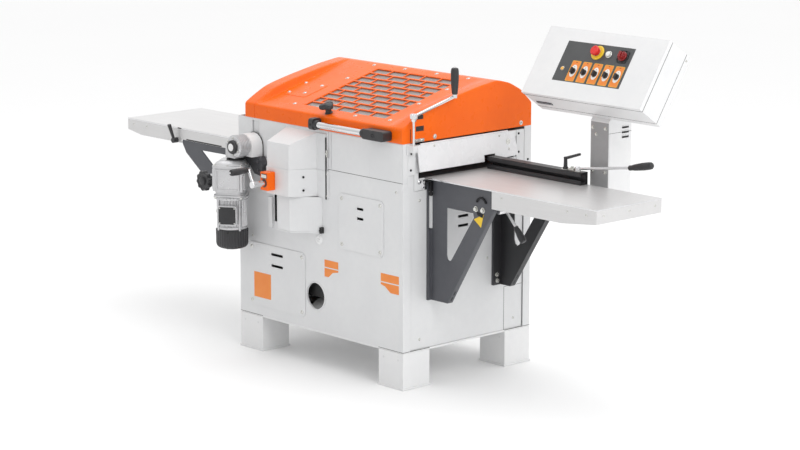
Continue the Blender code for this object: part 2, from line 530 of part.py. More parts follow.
# Feed drive outside the front wall
ARCH_W = 0.055
ARCH_X = OUT_SHAFT_X - 0.006
arch_pts = [(ARCH_X - ARCH_W, 0.842), (ARCH_X + ARCH_W, 0.842)]
for k in range(9):
    a = math.pi * k / 8
    arch_pts.append((ARCH_X + ARCH_W * math.cos(a), 0.886 + 0.050 * math.sin(a)))
FACE = WALL_Y - GAP
piece("gearbox_arch", prism(arch_pts, "y", WALL_Y - 0.062, FACE - 0.001), "alu",
      add=[turned((OUT_SHAFT_X, FACE - 0.002, OUT_SHAFT_Z), (0, 1, 0), [(0, 0.016), (0.058, 0.016)], 24)],
      pivot=(OUT_SHAFT_X, FACE, OUT_SHAFT_Z))
GB0, GB1 = WALL_Y - 0.122, WALL_Y - 0.062 - GAP
NECK_X, NECK_Y = DRIVE_X + 0.017, DRIVE_Y + 0.012
piece("worm_gearbox", turned((OUT_SHAFT_X, GB1, OUT_SHAFT_Z + 0.002), (0, -1, 0),
                             [(0, 0.046), (0.052, 0.046), (GB1 - GB0, 0.041)], 28), "alu",
      add=[box(NECK_X - 0.022, OUT_SHAFT_X, GB0 + 0.006, GB1 - 0.004, 0.836, 0.892),
           turned((OUT_SHAFT_X, GB0 + 0.002, OUT_SHAFT_Z), (0, -1, 0), [(0, 0.030), (0.006, 0.030), (0.010, 0.025),
                                                                      (0.016, 0.025)], 28),
           turned((NECK_X, NECK_Y, 0.829), (0, 0, 1), [(0, 0.038), (0.010, 0.038), (0.0125, 0.034)], 28)],
      pivot=(OUT_SHAFT_X, FACE, OUT_SHAFT_Z))
piece("variator_body", turned((DRIVE_X, DRIVE_Y, 0.673), (0, 0, 1),
                              [(0, 0.072), (0.008, 0.072), (0.009, 0.064), (0.020, 0.064), (0.034, 0.076),
                               (0.118, 0.076), (0.134, 0.074), (0.148, 0.069), (0.154, 0.060),
                               (0.1557, 0.046)], 32),
      "alu", add=[box(DRIVE_X - 0.118, DRIVE_X - 0.050, DRIVE_Y - 0.022, DRIVE_Y + 0.022, 0.700, 0.744),
                  turned((DRIVE_X - 0.112, DRIVE_Y, 0.722), (-1, 0, 0), [(0, 0.024), (0.034, 0.024)], 20)],
      pivot=(DRIVE_X, DRIVE_Y, 0.75))
BOX_TURN = math.radians(36)
turn_motor = Matrix.Translation((DRIVE_X, DRIVE_Y, 0.0)) @ Matrix.Rotation(BOX_TURN, 4, "Z")
piece("feed_motor", turned((DRIVE_X, DRIVE_Y, 0.450), (0, 0, 1),
                           [(0, 0.044), (0.004, 0.054), (0.014, 0.064), (0.020, 0.066), (0.078, 0.066),
                            (0.0785, 0.062), (0.086, 0.062), (0.0865, 0.064), (0.216, 0.064), (0.2165, 0.070),
                            (0.2227, 0.070)], 32),
      "alu", add=[moved(box(-0.038, 0.038, -0.079, -0.04, 0.562, 0.637), turn_motor)],
      pivot=(DRIVE_X, DRIVE_Y, 0.55))
kx, kz = DRIVE_X - 0.129, 0.722
knob_lobes = []
for k in range(24):
    a = 2 * math.pi * k / 24
    r = 0.040 + 0.0045 * math.cos(6 * a)
    knob_lobes.append((kx + r * math.cos(a), kz + r * math.sin(a)))
KY = DRIVE_Y - 0.024
piece("speed_knob", prism(knob_lobes, "y", KY - 0.030, KY - 0.008), "black",
      add=[turned((kx, KY - GAP, kz), (0, -1, 0), [(0, 0.020), (0.010, 0.020)], 20),
           turned((kx, KY - 0.029, kz), (0, -1, 0), [(0, 0.022), (0.006, 0.018)], 20)],
      pivot=(kx, KY, kz))

# ---------------------------------------------------------------- height crank at the infeed end
TIP = Vector((CRANK_X, CRANK_Y + 0.222, 1.163))
CB_X = BODY_X + GAP
lug = 0.0048
piece("crank_bracket", box(CB_X, CB_X + 0.004, CRANK_Y - 0.018, CRANK_Y + 0.018, 0.950, 0.994), "alu",
      add=[box(CB_X, CRANK_X + 0.011, CRANK_Y - 0.011, CRANK_Y + 0.011, 0.962, 0.990)],
      cut=[turned((CRANK_X, CRANK_Y, 0.966), (0, 0, 1), [(0, lug + GAP), (0.2, lug + GAP)], 20)])
piece("height_crank", turned((CRANK_X, CRANK_Y, 1.086), (0, 0, 1), [(0, 0.010), (0.010, 0.013), (0.012, 0.0155),
                                                                 (0.026, 0.0155), (0.030, 0.012)], 24), "chrome",
      add=[turned((CRANK_X, CRANK_Y, 0.9665), (0, 0, 1), [(0, lug), (0.1235, lug)], 20),
           rod((CRANK_X, CRANK_Y + 0.004, 1.106), TIP, 0.0065, 12),
           turned(TIP - Vector((0, 0, 0.006)), (0, 0, 1), [(0, 0.010), (0.014, 0.010)], 16),
           turned(TIP, (0, 0, 1), [(0, 0.0045), (0.118, 0.0045)], 12)],
      pivot=(CRANK_X, CRANK_Y, 1.1))
piece("height_crank_grip", grip(TIP + Vector((0, 0, 0.0085)), TIP + Vector((0, 0, 0.114)), 0.0165), "black",
      cut=[rod(TIP - Vector((0, 0, 0.01)), TIP + Vector((0, 0, 0.13)), 0.0048, 12)],
      pivot=TIP + Vector((0, 0, 0.0085)))

# ---------------------------------------------------------------- infeed guard flap
GX = BODY_X + 0.003
piece("infeed_guard", prism([(GX + 0.012, 0.8785), (GX + 0.015, 0.8785), (GX + 0.0045, 0.988), (GX + 0.0015, 0.988)],
                            "y", -0.272, 0.214), "guard",
      add=[turned((GX + 0.003, -0.272, 0.988), (0, 1, 0), [(0, 0.0035), (0.486, 0.0035)], 12)],
      cut=[box(GX - 0.01, GX + 0.03, 0.076, 0.300, 0.860, 0.904)],
      pivot=(GX + 0.003, -0.029, 0.988))

# ---------------------------------------------------------------- fence on the infeed table
FR = (0.530, 1.042, 0.086, FEED_Y1)
piece("fence_rail", box(*FR, TABLE_Z + GAP, 0.900), "black",
      cut=[box(0.5, 1.1, FR[2] + 0.004, FR[3] - 0.012, 0.858, 0.893),
           box(0.5, 1.1, FR[2] - 0.01, FR[2] + 0.006, 0.868, 0.882)])
CL = (0.944, 0.107)
piece("fence_clamp_lever", turned((*CL, 0.900 + GAP), (0, 0, 1), [(0, 0.011), (0.008, 0.011), (0.010, 0.008),
                                                                (0.040, 0.007), (0.048, 0.008)], 16), "black",
      add=[rod((CL[0], CL[1] - 0.004, 0.943), (CL[0], CL[1] + 0.082, 0.949), 0.0065, 12, 0.0055)],
      pivot=(*CL, 0.900))
RP = Vector((1.010, 0.107, 0.900 + GAP))
piece("fence_rod_lever", turned(RP, (0, 0, 1), [(0, 0.012), (0.018, 0.012)], 16), "chrome",
      add=[rod(RP + Vector((0, 0, 0.012)), (1.300, 0.100, 0.952), 0.0055, 12),
           grip((1.292, 0.100, 0.9505), (1.405, 0.098, 0.975), 0.015)],
      pivot=RP)
piece("table_lever", turned((0.862, FB_Y + 0.0285, 0.755), (0, 1, 0), [(0, 0.011), (0.056, 0.011)], 16), "black",
      add=[rod((0.862, -0.140, 0.755), (0.926, -0.140, 0.690), 0.0055, 12),
           grip((0.920, -0.140, 0.696), (0.962, -0.140, 0.644), 0.014)],
      pivot=(0.862, -0.18, 0.755))
OLX, OLZ = -1.150, 0.792
piece("outfeed_clamp_lever", turned((OLX, OUT_Y0 - GAP, OLZ), (0, -1, 0), [(0, 0.012), (0.024, 0.012)], 16), "black",
      add=[rod((OLX, OUT_Y0 - 0.016, OLZ), (OLX - 0.016, OUT_Y0 - 0.030, OLZ + 0.070), 0.006, 12, 0.009)],
      pivot=(OLX, OUT_Y0, OLZ))

# ---------------------------------------------------------------- control pedestal and box
tilt = Matrix.Translation(BOX_C) @ Matrix.Rotation(-BOX_TILT, 4, "X")
# Box frame: x along the machine, z up the door, +y into the box
arm_z = (0.735, 0.790)


def back_plane(y):
    c, s = math.cos(BOX_TILT), math.sin(BOX_TILT)
    y0 = BOX_C.y + BOX_D * c
    z0 = BOX_C.z - BOX_D * s
    return z0 + (y - y0) * c / s


ped_top = [(PED_Y0, 1.098), (PED_Y0 + 0.010, back_plane(PED_Y0 + 0.010) - 0.001), (PED_Y1, back_plane(PED_Y1) - 0.001)]
piece("control_pedestal", prism([(PED_Y0, 0.735), (PED_Y1, 0.735)] + ped_top[::-1], "x", PED_X0, PED_X1), "white",
      add=[box(BX, PED_X0 + 0.02, PED_Y0 + 0.020, PED_Y1 - 0.020, *arm_z)],
      cut=[box(PED_X0 + 0.003, PED_X1 - 0.003, PED_Y0 + 0.003, PED_Y1 - 0.003, 0.738, 1.075)]
      + [box(PED_X1 - 0.01, PED_X1 + 0.01, PED_Y1 - 0.053, PED_Y1 - 0.013, z, z + 0.008)
         for z in (1.028, 1.047, 1.066)])
w2, h2 = BOX_W / 2, BOX_H / 2
d0 = DOOR_T + GAP
wall = 0.004
piece("control_box", moved(box(-w2, w2, d0, BOX_D, -h2, h2), tilt), "white",
      cut=[moved(box(-w2 + wall, w2 - wall, -0.02, BOX_D - wall, -h2 + wall, h2 - wall), tilt)])
sw_x = [-0.095, -0.038, 0.019, 0.076, 0.133]
sw_v = -0.032
door_holes = [moved(rod((x, -0.02, v), (x, 0.05, v), r, 20), tilt)
              for x, v, r in [(-0.011, 0.058, 0.0113), (0.049, 0.056, 0.0093), (0.122, 0.055, 0.0113)]
              + [(x, sw_v, 0.0073) for x in sw_x]]
hinge_at = tilt @ Vector((-w2, DOOR_T, 0.0))
piece("control_door", moved(box(-w2, w2, 0.0, DOOR_T, -h2, h2), tilt), "white",
      cut=[moved(box(-w2 + wall, w2 - wall, 0.003, 0.05, -h2 + wall, h2 - wall), tilt)] + door_holes,
      pivot=hinge_at)
F0 = -GAP


def knob_on_door(name, mat, x, v, stem, prof, extra=()):
    """A control whose stem runs through the door plate, with its head in front of it."""
    at = tilt @ Vector((x, 0, v))
    shells = [moved(turned((x, 0.016, v), (0, -1, 0), [(0, stem), (0.020, stem)], 20), tilt)]
    shells += [moved(e, tilt) for e in extra]
    piece(name, moved(turned((x, F0, v), (0, -1, 0), prof, 24), tilt), mat, add=shells, pivot=at)


F1 = -0.0065
at = tilt @ Vector((-0.011, 0, 0.058))
piece("estop_button", moved(turned((-0.011, F1, 0.058), (0, -1, 0), [(0, 0.012), (0.008, 0.012), (0.010, 0.0195),
                                                                (0.019, 0.0195), (0.022, 0.016)], 28), tilt), "red",
      add=[moved(turned((-0.011, 0.016, 0.058), (0, -1, 0), [(0, 0.011), (0.026, 0.011)], 20), tilt)], pivot=at)
at = tilt @ Vector((0.049, 0, 0.056))
piece("start_button", moved(turned((0.049, F1, 0.056), (0, -1, 0), [(0, 0.010), (0.004, 0.010), (0.005, 0.009)], 24),
                            tilt), "ivory",
      add=[moved(turned((0.049, 0.016, 0.056), (0, -1, 0), [(0, 0.009), (0.024, 0.009)], 20), tilt)], pivot=at)
knob_on_door("main_switch", "black", 0.122, 0.055, 0.011, [(0, 0.026), (0.006, 0.026), (0.010, 0.022)],
             [box(0.122 - 0.007, 0.122 + 0.007, -0.024, -0.006, 0.055 - 0.021, 0.055 + 0.021)])
for i, x in enumerate(sw_x):
    knob_on_door(f"motor_switch_{i + 1}", "black", x, sw_v, 0.007, [(0, 0.0125), (0.003, 0.0125), (0.005, 0.011)],
                 [box(x - 0.004, x + 0.004, -0.016, -0.003, sw_v - 0.011, sw_v + 0.011)])

# ---------------------------------------------------------------- main motor inside the cabinet
piece("cutter_motor", turned((0.080, 0.020, 0.330), (0, 1, 0), [(0, 0.070), (0.010, 0.080), (0.220, 0.080),
                                                              (0.230, 0.070)], 28), "iron",
      add=[box(0.0, 0.16, 0.05, 0.21, FLOOR_Z, 0.28), rod((0.080, -0.05, 0.330), (0.080, 0.03, 0.330), 0.014, 16)])

# The origin sits under the middle of the whole machine
root.location = (0.042, 0.150, 0.0)
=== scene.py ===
"""Visual model of a four-sided planing and jointing machine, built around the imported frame.

Lengths are metres. Shapes are drawn in the machine's own coordinates, with the cabinet centred on
x = y = 0, and make() shifts them into the frame's.
"""
import math

import bmesh
import bpy
from mathutils import Matrix, Vector


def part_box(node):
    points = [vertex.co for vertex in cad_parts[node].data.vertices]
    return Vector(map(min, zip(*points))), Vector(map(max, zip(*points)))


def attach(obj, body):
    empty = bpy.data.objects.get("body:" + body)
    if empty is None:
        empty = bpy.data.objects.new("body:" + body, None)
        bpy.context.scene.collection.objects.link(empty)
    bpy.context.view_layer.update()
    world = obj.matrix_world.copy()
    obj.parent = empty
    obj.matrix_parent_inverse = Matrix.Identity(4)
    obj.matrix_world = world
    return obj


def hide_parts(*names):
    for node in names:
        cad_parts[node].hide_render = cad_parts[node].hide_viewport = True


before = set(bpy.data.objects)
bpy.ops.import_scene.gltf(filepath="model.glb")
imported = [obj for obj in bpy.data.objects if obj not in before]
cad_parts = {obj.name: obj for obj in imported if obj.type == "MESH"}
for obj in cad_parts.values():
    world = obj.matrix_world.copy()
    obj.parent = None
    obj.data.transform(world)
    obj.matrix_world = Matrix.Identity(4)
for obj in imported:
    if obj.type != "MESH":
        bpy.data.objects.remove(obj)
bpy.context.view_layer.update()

# ---------------------------------------------------------------- driving dimensions, as in the solids
BODY_X, BODY_Y = 0.51, 0.358
LEG_H = 0.147
LEG_W = 0.145
HOOD_Z = 0.9963
HOOD_X0 = -0.465
HOOD_Y = 0.360
HOOD_T = 0.003
LIP_Z = 1.056
PEAK_Y, PEAK_Z = 0.165, 1.200
FEED_Y0, FEED_Y1 = -0.232, 0.128
IN_END, OUT_END = 1.427, -1.511
OUT_Y0, OUT_Y1 = -0.193, 0.230
SEAM_Z = 0.8385
WALL_Y = -BODY_Y
PED_X0, PED_X1 = 1.019, 1.115
PED_Y0, PED_Y1 = 0.168, 0.296
BOX_C = Vector((1.06, 0.1375, 1.3135))
BOX_W, BOX_H = 0.624, 0.298
BOX_TILT = math.radians(33.7)
DRIVE_X, DRIVE_Y = -0.45, WALL_Y - 0.09
SHAFT_X, SHAFT_Z = -0.396, 0.887
SIDE_X, SIDE_Z = -0.164, 0.770
PORT_X, PORT_Z, PORT_R = -0.018, 0.299, 0.055
WIN_X0, WIN_X1, WIN_Y0, WIN_Y1 = -0.155, 0.340, -0.300, 0.112
RIM_X = -0.383
SLOPE = (PEAK_Z - LIP_Z) / (PEAK_Y + HOOD_Y)
FOOT_LIP = 0.004

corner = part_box("base_frame")[0]
SHIFT = Matrix.Translation((corner.x + BODY_X + FOOT_LIP, corner.y + BODY_Y + FOOT_LIP, 0.0))
DOOR = Matrix.Translation(BOX_C) @ Matrix.Rotation(-BOX_TILT, 4, "X")
FRONT, RIGHT, LEFT, BACK = (0, -1, 0), (1, 0, 0), (-1, 0, 0), (0, 1, 0)
UP, DOWN = (0, 0, 1), (0, 0, -1)


# ---------------------------------------------------------------- materials
class Finish:
    """Node material: a base colour, then layers of mottling, grain, streaks and dust."""

    def __init__(self, name, color, rough, metal=0.0, **sockets):
        self.material = bpy.data.materials.new(name)
        self.material.use_nodes = True
        self.tree = self.material.node_tree
        self.bsdf = self.tree.nodes["Principled BSDF"]
        self.coords = self.tree.nodes.new("ShaderNodeTexCoord").outputs["Object"]
        self.bsdf.inputs["Metallic"].default_value = metal
        for socket, value in sockets.items():
            self.bsdf.inputs[socket.replace("_", " ")].default_value = value
        self.color = self.solid(color)
        self.rough = rough
        self.rough_out = None
        self.normal = None

    def solid(self, color):
        node = self.tree.nodes.new("ShaderNodeRGB")
        node.outputs[0].default_value = (*color, 1.0)
        return node.outputs[0]

    def texture(self, kind, output, stretch, **fields):
        mapping = self.tree.nodes.new("ShaderNodeMapping")
        mapping.inputs["Scale"].default_value = stretch
        self.tree.links.new(self.coords, mapping.inputs["Vector"])
        node = self.tree.nodes.new(kind)
        for field, value in fields.items():
            node.inputs[field].default_value = value
        self.tree.links.new(mapping.outputs["Vector"], node.inputs["Vector"])
        return node.outputs[output]

    def noise(self, scale, stretch=(1, 1, 1), detail=2.0, roughness=0.5):
        return self.texture("ShaderNodeTexNoise", "Fac", stretch, Scale=scale, Detail=detail,
                            Roughness=roughness)

    def cells(self, scale):
        return self.texture("ShaderNodeTexVoronoi", "Distance", (1, 1, 1), Scale=scale)

    def remap(self, value, low, high, to_low, to_high):
        node = self.tree.nodes.new("ShaderNodeMapRange")
        for socket, number in zip(("From Min", "From Max", "To Min", "To Max"), (low, high, to_low, to_high)):
            node.inputs[socket].default_value = number
        self.tree.links.new(value, node.inputs["Value"])
        return node.outputs["Result"]

    def math(self, operation, a, b):
        node = self.tree.nodes.new("ShaderNodeMath")
        node.operation = operation
        for socket, value in zip(node.inputs, (a, b)):
            if isinstance(value, (int, float)):
                socket.default_value = value
            else:
                self.tree.links.new(value, socket)
        return node.outputs[0]

    def tint(self, factor, color):
        """Shifts the base colour towards another one by a factor from 0 to 1."""
        node = self.tree.nodes.new("ShaderNodeMix")
        node.data_type = "RGBA"
        self.tree.links.new(factor, node.inputs[0])
        self.tree.links.new(self.color, node.inputs[6])
        node.inputs[7].default_value = (*color, 1.0)
        self.color = node.outputs[2]
        return self

    def mottle(self, scale, color, amount, low=0.35, high=0.65, stretch=(1, 1, 1), detail=3.0):
        return self.tint(self.remap(self.noise(scale, stretch, detail), low, high, 0.0, amount), color)

    def vary_rough(self, scale, swing, stretch=(1, 1, 1)):
        low, high = self.rough - swing, self.rough + swing
        value = self.remap(self.noise(scale, stretch, 3.0), 0.3, 0.7, low, high)
        self.rough_out = value if self.rough_out is None else self.math("MAXIMUM", self.rough_out, value)
        return self

    def bump(self, height, distance, strength=1.0):
        node = self.tree.nodes.new("ShaderNodeBump")
        node.inputs["Strength"].default_value = strength
        node.inputs["Distance"].default_value = distance
        self.tree.links.new(height, node.inputs["Height"])
        if self.normal is not None:
            self.tree.links.new(self.normal, node.inputs["Normal"])
        self.normal = node.outputs["Normal"]
        return self

    def grain(self, scale, distance, stretch=(1, 1, 1), strength=1.0, detail=2.0):
        return self.bump(self.noise(scale, stretch, detail), distance, strength)

    def scuffs(self, scale, stretch, color, amount, share=0.12):
        """Sparse fine streaks, a little lighter or darker than the surface."""
        streak = self.noise(scale, stretch, 4.0, 0.6)
        patch = self.noise(scale * 0.04, (1, 1, 1), 2.0)
        mask = self.math("MULTIPLY", self.remap(streak, 0.66 - share * 0.5, 0.70, 0.0, 1.0),
                         self.remap(patch, 0.5, 0.62, 0.0, 1.0))
        return self.tint(self.math("MULTIPLY", mask, amount), color)

    def dust(self, height, color, amount):
        """Workshop dust that thickens towards the floor."""
        split = self.tree.nodes.new("ShaderNodeSeparateXYZ")
        self.tree.links.new(self.coords, split.inputs[0])
        low = self.remap(split.outputs["Z"], 0.0, height, 1.0, 0.0)
        patch = self.remap(self.noise(9.0, (1, 1, 0.4), 5.0, 0.6), 0.35, 0.75, 0.2, 1.0)
        return self.tint(self.math("MULTIPLY", self.math("MULTIPLY", low, patch), amount), color)

    def done(self):
        links = self.tree.links
        links.new(self.color, self.bsdf.inputs["Base Color"])
        if self.rough_out is None:
            self.bsdf.inputs["Roughness"].default_value = self.rough
        else:
            links.new(self.rough_out, self.bsdf.inputs["Roughness"])
        if self.normal is not None:
            links.new(self.normal, self.bsdf.inputs["Normal"])
        return self.material


def powder_coat(name, color, shade, rough=0.34, depth=0.00010, gloss=0.5):
    """Baked powder paint: orange-peel skin, faint cloudiness, rare hairline scuffs and floor dust."""
    made = Finish(name, color, rough, Specular_IOR_Level=gloss)
    made.mottle(5.0, shade, 0.55).mottle(38.0, shade, 0.30).mottle(900.0, shade, 0.25, 0.45, 0.6)
    made.scuffs(130.0, (1.0, 1.0, 0.06), shade, 0.8)
    made.dust(0.35, tuple(c * 0.8 + d for c, d in zip(color, (0.045, 0.035, 0.02))), 0.22)
    made.vary_rough(24.0, 0.05)
    return made.grain(420.0, depth, detail=1.0, strength=0.35).grain(1900.0, 0.00003, strength=0.4).done()


def moulded(name, color, light, rough=0.42, **sockets):
    """Moulded plastic with a fine spark-eroded texture and slight fading."""
    made = Finish(name, color, rough, Specular_IOR_Level=0.5, **sockets)
    made.mottle(18.0, light, 0.5).mottle(1400.0, light, 0.35, 0.45, 0.7)
    made.vary_rough(60.0, 0.07)
    return made.grain(1600.0, 0.00008, strength=0.5).done()


def cast(name, color, dark, rough=0.42, metal=0.85, grit=420.0, depth=0.00025):
    """Sand or die casting: pebbled skin, dark pores, oily patches."""
    made = Finish(name, color, rough, metal)
    made.mottle(14.0, dark, 0.30).mottle(160.0, dark, 0.25, 0.4, 0.7)
    made.tint(made.remap(made.cells(520.0), 0.0, 0.14, 0.35, 0.0), dark)
    made.vary_rough(45.0, 0.10)
    return made.grain(grit, depth, detail=3.0, strength=0.5).bump(made.cells(300.0), 0.00012, 0.25).done()


def ground(name, color, dark, rough, along, metal=1.0, lines=0.00004):
    """Ground or brushed steel, its fine lines running along one axis."""
    stretch = tuple(0.012 if axis == along else 1.0 for axis in "xyz")
    coarse = tuple(0.05 if axis == along else 1.0 for axis in "xyz")
    made = Finish(name, color, rough, metal)
    made.mottle(3.5, dark, 0.35).mottle(750.0, dark, 0.40, 0.35, 0.75, stretch, 4.0)
    made.mottle(60.0, dark, 0.30, 0.4, 0.8, coarse)
    made.scuffs(220.0, (1.0, 0.05, 1.0), dark, 0.6, 0.10)
    made.vary_rough(300.0, 0.08, stretch)
    return made.grain(1500.0, lines, stretch, 0.5, 4.0).done()


MATS = {
    "white_paint": powder_coat("powder_white", (0.715, 0.72, 0.725), (0.655, 0.66, 0.67)),
    "light_paint": powder_coat("powder_light", (0.80, 0.80, 0.80), (0.73, 0.735, 0.745)),
    "orange_paint": powder_coat("powder_orange", (0.92, 0.148, 0.005), (0.84, 0.118, 0.004), 0.30,
                                gloss=0.22),
    "grey_paint": powder_coat("powder_grey", (0.088, 0.091, 0.103), (0.066, 0.068, 0.078), 0.40),
    "dark_paint": powder_coat("powder_dark", (0.022, 0.022, 0.025), (0.034, 0.034, 0.037), 0.42),
    # Mid grey for the pedestal's front plate: painted shade on a white face turned away from the light
    "shade_grey_paint": powder_coat("powder_painted_shade", (0.37, 0.37, 0.375), (0.31, 0.31, 0.315), 0.40),
    "plate_grey": powder_coat("powder_plate", (0.150, 0.152, 0.158), (0.120, 0.122, 0.128), 0.45),
    "table_steel": ground("steel_table", (0.68, 0.675, 0.675), (0.60, 0.595, 0.595), 0.38, "x", 0.42),
    "black_plastic": moulded("plastic_black", (0.018, 0.018, 0.020), (0.040, 0.040, 0.043)),
    "black_rubber": moulded("rubber_black", (0.012, 0.012, 0.012), (0.030, 0.030, 0.031), 0.62),
    "cast_aluminium": cast("aluminium_cast", (0.62, 0.62, 0.63), (0.40, 0.40, 0.41)),
    "silver_paint": cast("aluminium_painted", (0.60, 0.60, 0.61), (0.47, 0.47, 0.48), 0.36, 0.55, 700.0,
                         0.00010),
    "cast_iron": cast("iron_cast", (0.13, 0.13, 0.14), (0.07, 0.07, 0.075), 0.52, 0.6),
    "bright_steel": ground("steel_bright", (0.80, 0.80, 0.81), (0.62, 0.62, 0.63), 0.13, "x"),
    "zinc": ground("zinc_plated", (0.72, 0.72, 0.70), (0.55, 0.55, 0.50), 0.25, "z", 0.9),
    "black_oxide": cast("steel_black_oxide", (0.028, 0.028, 0.030), (0.014, 0.014, 0.015), 0.36, 0.7, 800.0,
                        0.00006),
    "red_plastic": moulded("plastic_red", (0.66, 0.012, 0.010), (0.74, 0.045, 0.035), 0.30),
    "dark_red_plastic": moulded("plastic_dark_red", (0.20, 0.008, 0.010), (0.28, 0.02, 0.02), 0.22),
    "yellow_plastic": moulded("plastic_yellow", (0.80, 0.52, 0.015), (0.86, 0.60, 0.05), 0.36),
    "ivory_plastic": moulded("plastic_ivory", (0.80, 0.80, 0.76), (0.86, 0.86, 0.83), 0.32),
    "label_grey": moulded("film_grey", (0.060, 0.062, 0.064), (0.082, 0.084, 0.086), 0.40),
    "label_orange": moulded("film_orange", (0.80, 0.22, 0.025), (0.84, 0.28, 0.05), 0.38),
    "guard_paint": powder_coat("powder_guard", (0.80, 0.80, 0.81), (0.73, 0.735, 0.75), 0.28),
    "amber_lens": moulded("lens_amber", (0.85, 0.40, 0.05), (0.92, 0.55, 0.15), 0.15),
    "smoked_sheet": moulded("sheet_smoked", (0.45, 0.42, 0.40), (0.52, 0.49, 0.47), 0.22, Alpha=0.55),
}


# ---------------------------------------------------------------- shapes: lists of (vertices, faces) shells
# Faces of a slab whose eight corners are listed once round its front, then once round its back
SLAB_FACES = [(0, 1, 2, 3), (7, 6, 5, 4), (0, 4, 5, 1), (1, 5, 6, 2), (2, 6, 7, 3), (3, 7, 4, 0)]


def box(x0, x1, y0, y1, z0, z1):
    v = [(x, y, z) for x in (x0, x1) for y in (y0, y1) for z in (z0, z1)]
    f = [(0, 1, 3, 2), (4, 6, 7, 5), (0, 4, 5, 1), (2, 3, 7, 6), (0, 2, 6, 4), (1, 5, 7, 3)]
    return [(v, f)]


def prism(points, axis, lo, hi):
    """Extrudes a polygon: axis x takes (y, z) points, axis y takes (x, z), axis z takes (x, y)."""
    place = {
        "x": lambda a, b, h: (h, a, b),
        "y": lambda a, b, h: (a, h, b),
        "z": lambda a, b, h: (a, b, h),
    }[axis]
    n = len(points)
    v = [place(a, b, lo) for a, b in points] + [place(a, b, hi) for a, b in points]
    f = [tuple(range(n)), tuple(range(2 * n - 1, n - 1, -1))]
    f += [(i, (i + 1) % n, n + (i + 1) % n, n + i) for i in range(n)]
    return [(v, f)]


def frame_of(direction):
    axis = Vector(direction).normalized()
    side = Vector((1, 0, 0)) if abs(axis.z) > 0.9 else axis.orthogonal().normalized()
    side = (side - axis * side.dot(axis)).normalized()
    return axis, side, axis.cross(side)


def turned(base, direction, profile, n=24, start=0.0, closed=False, radius=None):
    """Solid of revolution: profile is (distance along the axis, radius); closed makes a ring of it.

    radius(angle) may scale the radius, for lobes and flutes.
    """
    axis, side, other = frame_of(direction)
    v, f = [], []
    for h, r in profile:
        for i in range(n):
            a = start + 2 * math.pi * i / n
            k = r * (radius(a) if radius else 1.0)
            v.append(tuple(Vector(base) + axis * h + (side * math.cos(a) + other * math.sin(a)) * k))
    m = len(profile)
    for k in range(m if closed else m - 1):
        for i in range(n):
            j = (i + 1) % n
            q = (k + 1) % m
            f.append((k * n + i, k * n + j, q * n + j, q * n + i))
    if not closed:
        f.append(tuple(range(n - 1, -1, -1)))
        f.append(tuple(range((m - 1) * n, m * n)))
    return [(v, f)]


def rod(p0, p1, r, n=20, r1=None):
    p0, p1 = Vector(p0), Vector(p1)
    length = (p1 - p0).length
    return turned(p0, p1 - p0, [(0, r), (length, r if r1 is None else r1)], n)


def washer(base, direction, inner, outer, height, n=32):
    return turned(base, direction, [(0, inner), (0, outer), (height, outer), (height, inner)], n, closed=True)


def rounded(points, radius, steps=5):
    """Rounds the inner corners of a polyline with arcs."""
    pts = [Vector(p) for p in points]
    out = [pts[0]]
    for before, at, after in zip(pts, pts[1:], pts[2:]):
        reach = min(radius, (at - before).length * 0.49, (after - at).length * 0.49)
        a = at + (before - at).normalized() * reach
        b = at + (after - at).normalized() * reach
        for i in range(steps + 1):
            t = i / steps
            out.append(a * (1 - t) ** 2 + at * 2 * t * (1 - t) + b * t * t)
    out.append(pts[-1])
    return out


def tube(points, r, n=14, flat=1.0):
    """Round or flattened bar along a polyline, parallel transported; r is one radius or one per point."""
    pts = [Vector(p) for p in points]
    radii = [r] * len(pts) if isinstance(r, (int, float)) else r
    side = (pts[1] - pts[0]).orthogonal().normalized()
    v, f = [], []
    for i, p in enumerate(pts):
        ahead = (pts[min(i + 1, len(pts) - 1)] - pts[max(i - 1, 0)]).normalized()
        side = (side - ahead * side.dot(ahead)).normalized()
        other = ahead.cross(side)
        for k in range(n):
            a = 2 * math.pi * k / n
            v.append(tuple(p + (side * math.cos(a) + other * math.sin(a) * flat) * radii[i]))
    for i in range(len(pts) - 1):
        for k in range(n):
            j = (k + 1) % n
            f.append((i * n + k, i * n + j, (i + 1) * n + j, (i + 1) * n + k))
    f.append(tuple(range(n - 1, -1, -1)))
    f.append(tuple(range((len(pts) - 1) * n, len(pts) * n)))
    return [(v, f)]


def corner_rounded(x0, x1, z0, z1, r, steps=4):
    """Outline of a rectangle with rounded corners."""
    out = []
    for cx, cz, start in ((x1 - r, z1 - r, 0), (x0 + r, z1 - r, 90), (x0 + r, z0 + r, 180),
                          (x1 - r, z0 + r, 270)):
        for i in range(steps + 1):
            a = math.radians(start + 90 * i / steps)
            out.append((cx + r * math.cos(a), cz + r * math.sin(a)))
    return out


def hex_bolt(at, direction, across=0.013, height=0.0055, plate=True):
    """Hexagon head on a washer."""
    r = across / math.sqrt(3)
    base = Vector(at)
    axis = Vector(direction).normalized()
    shells = washer(base - axis * 0.0002, axis, 0.002, across * 0.78, 0.0016, 24) if plate else []
    head = [(0, r * 0.97), (0.0004, r), (height * 0.82, r), (height, r * 0.86)]
    return shells + turned(base + axis * (0.0013 if plate else -0.0002), axis, head, 6)


def button_screw(at, direction, r=0.0055, height=0.0030):
    """Domed head with a hexagon socket."""
    profile = [(-0.0004, r), (height * 0.25, r), (height * 0.62, r * 0.88), (height * 0.9, r * 0.62),
               (height, r * 0.46), (height * 0.92, r * 0.40), (height * 0.30, r * 0.38)]
    return turned(at, direction, profile, 18)


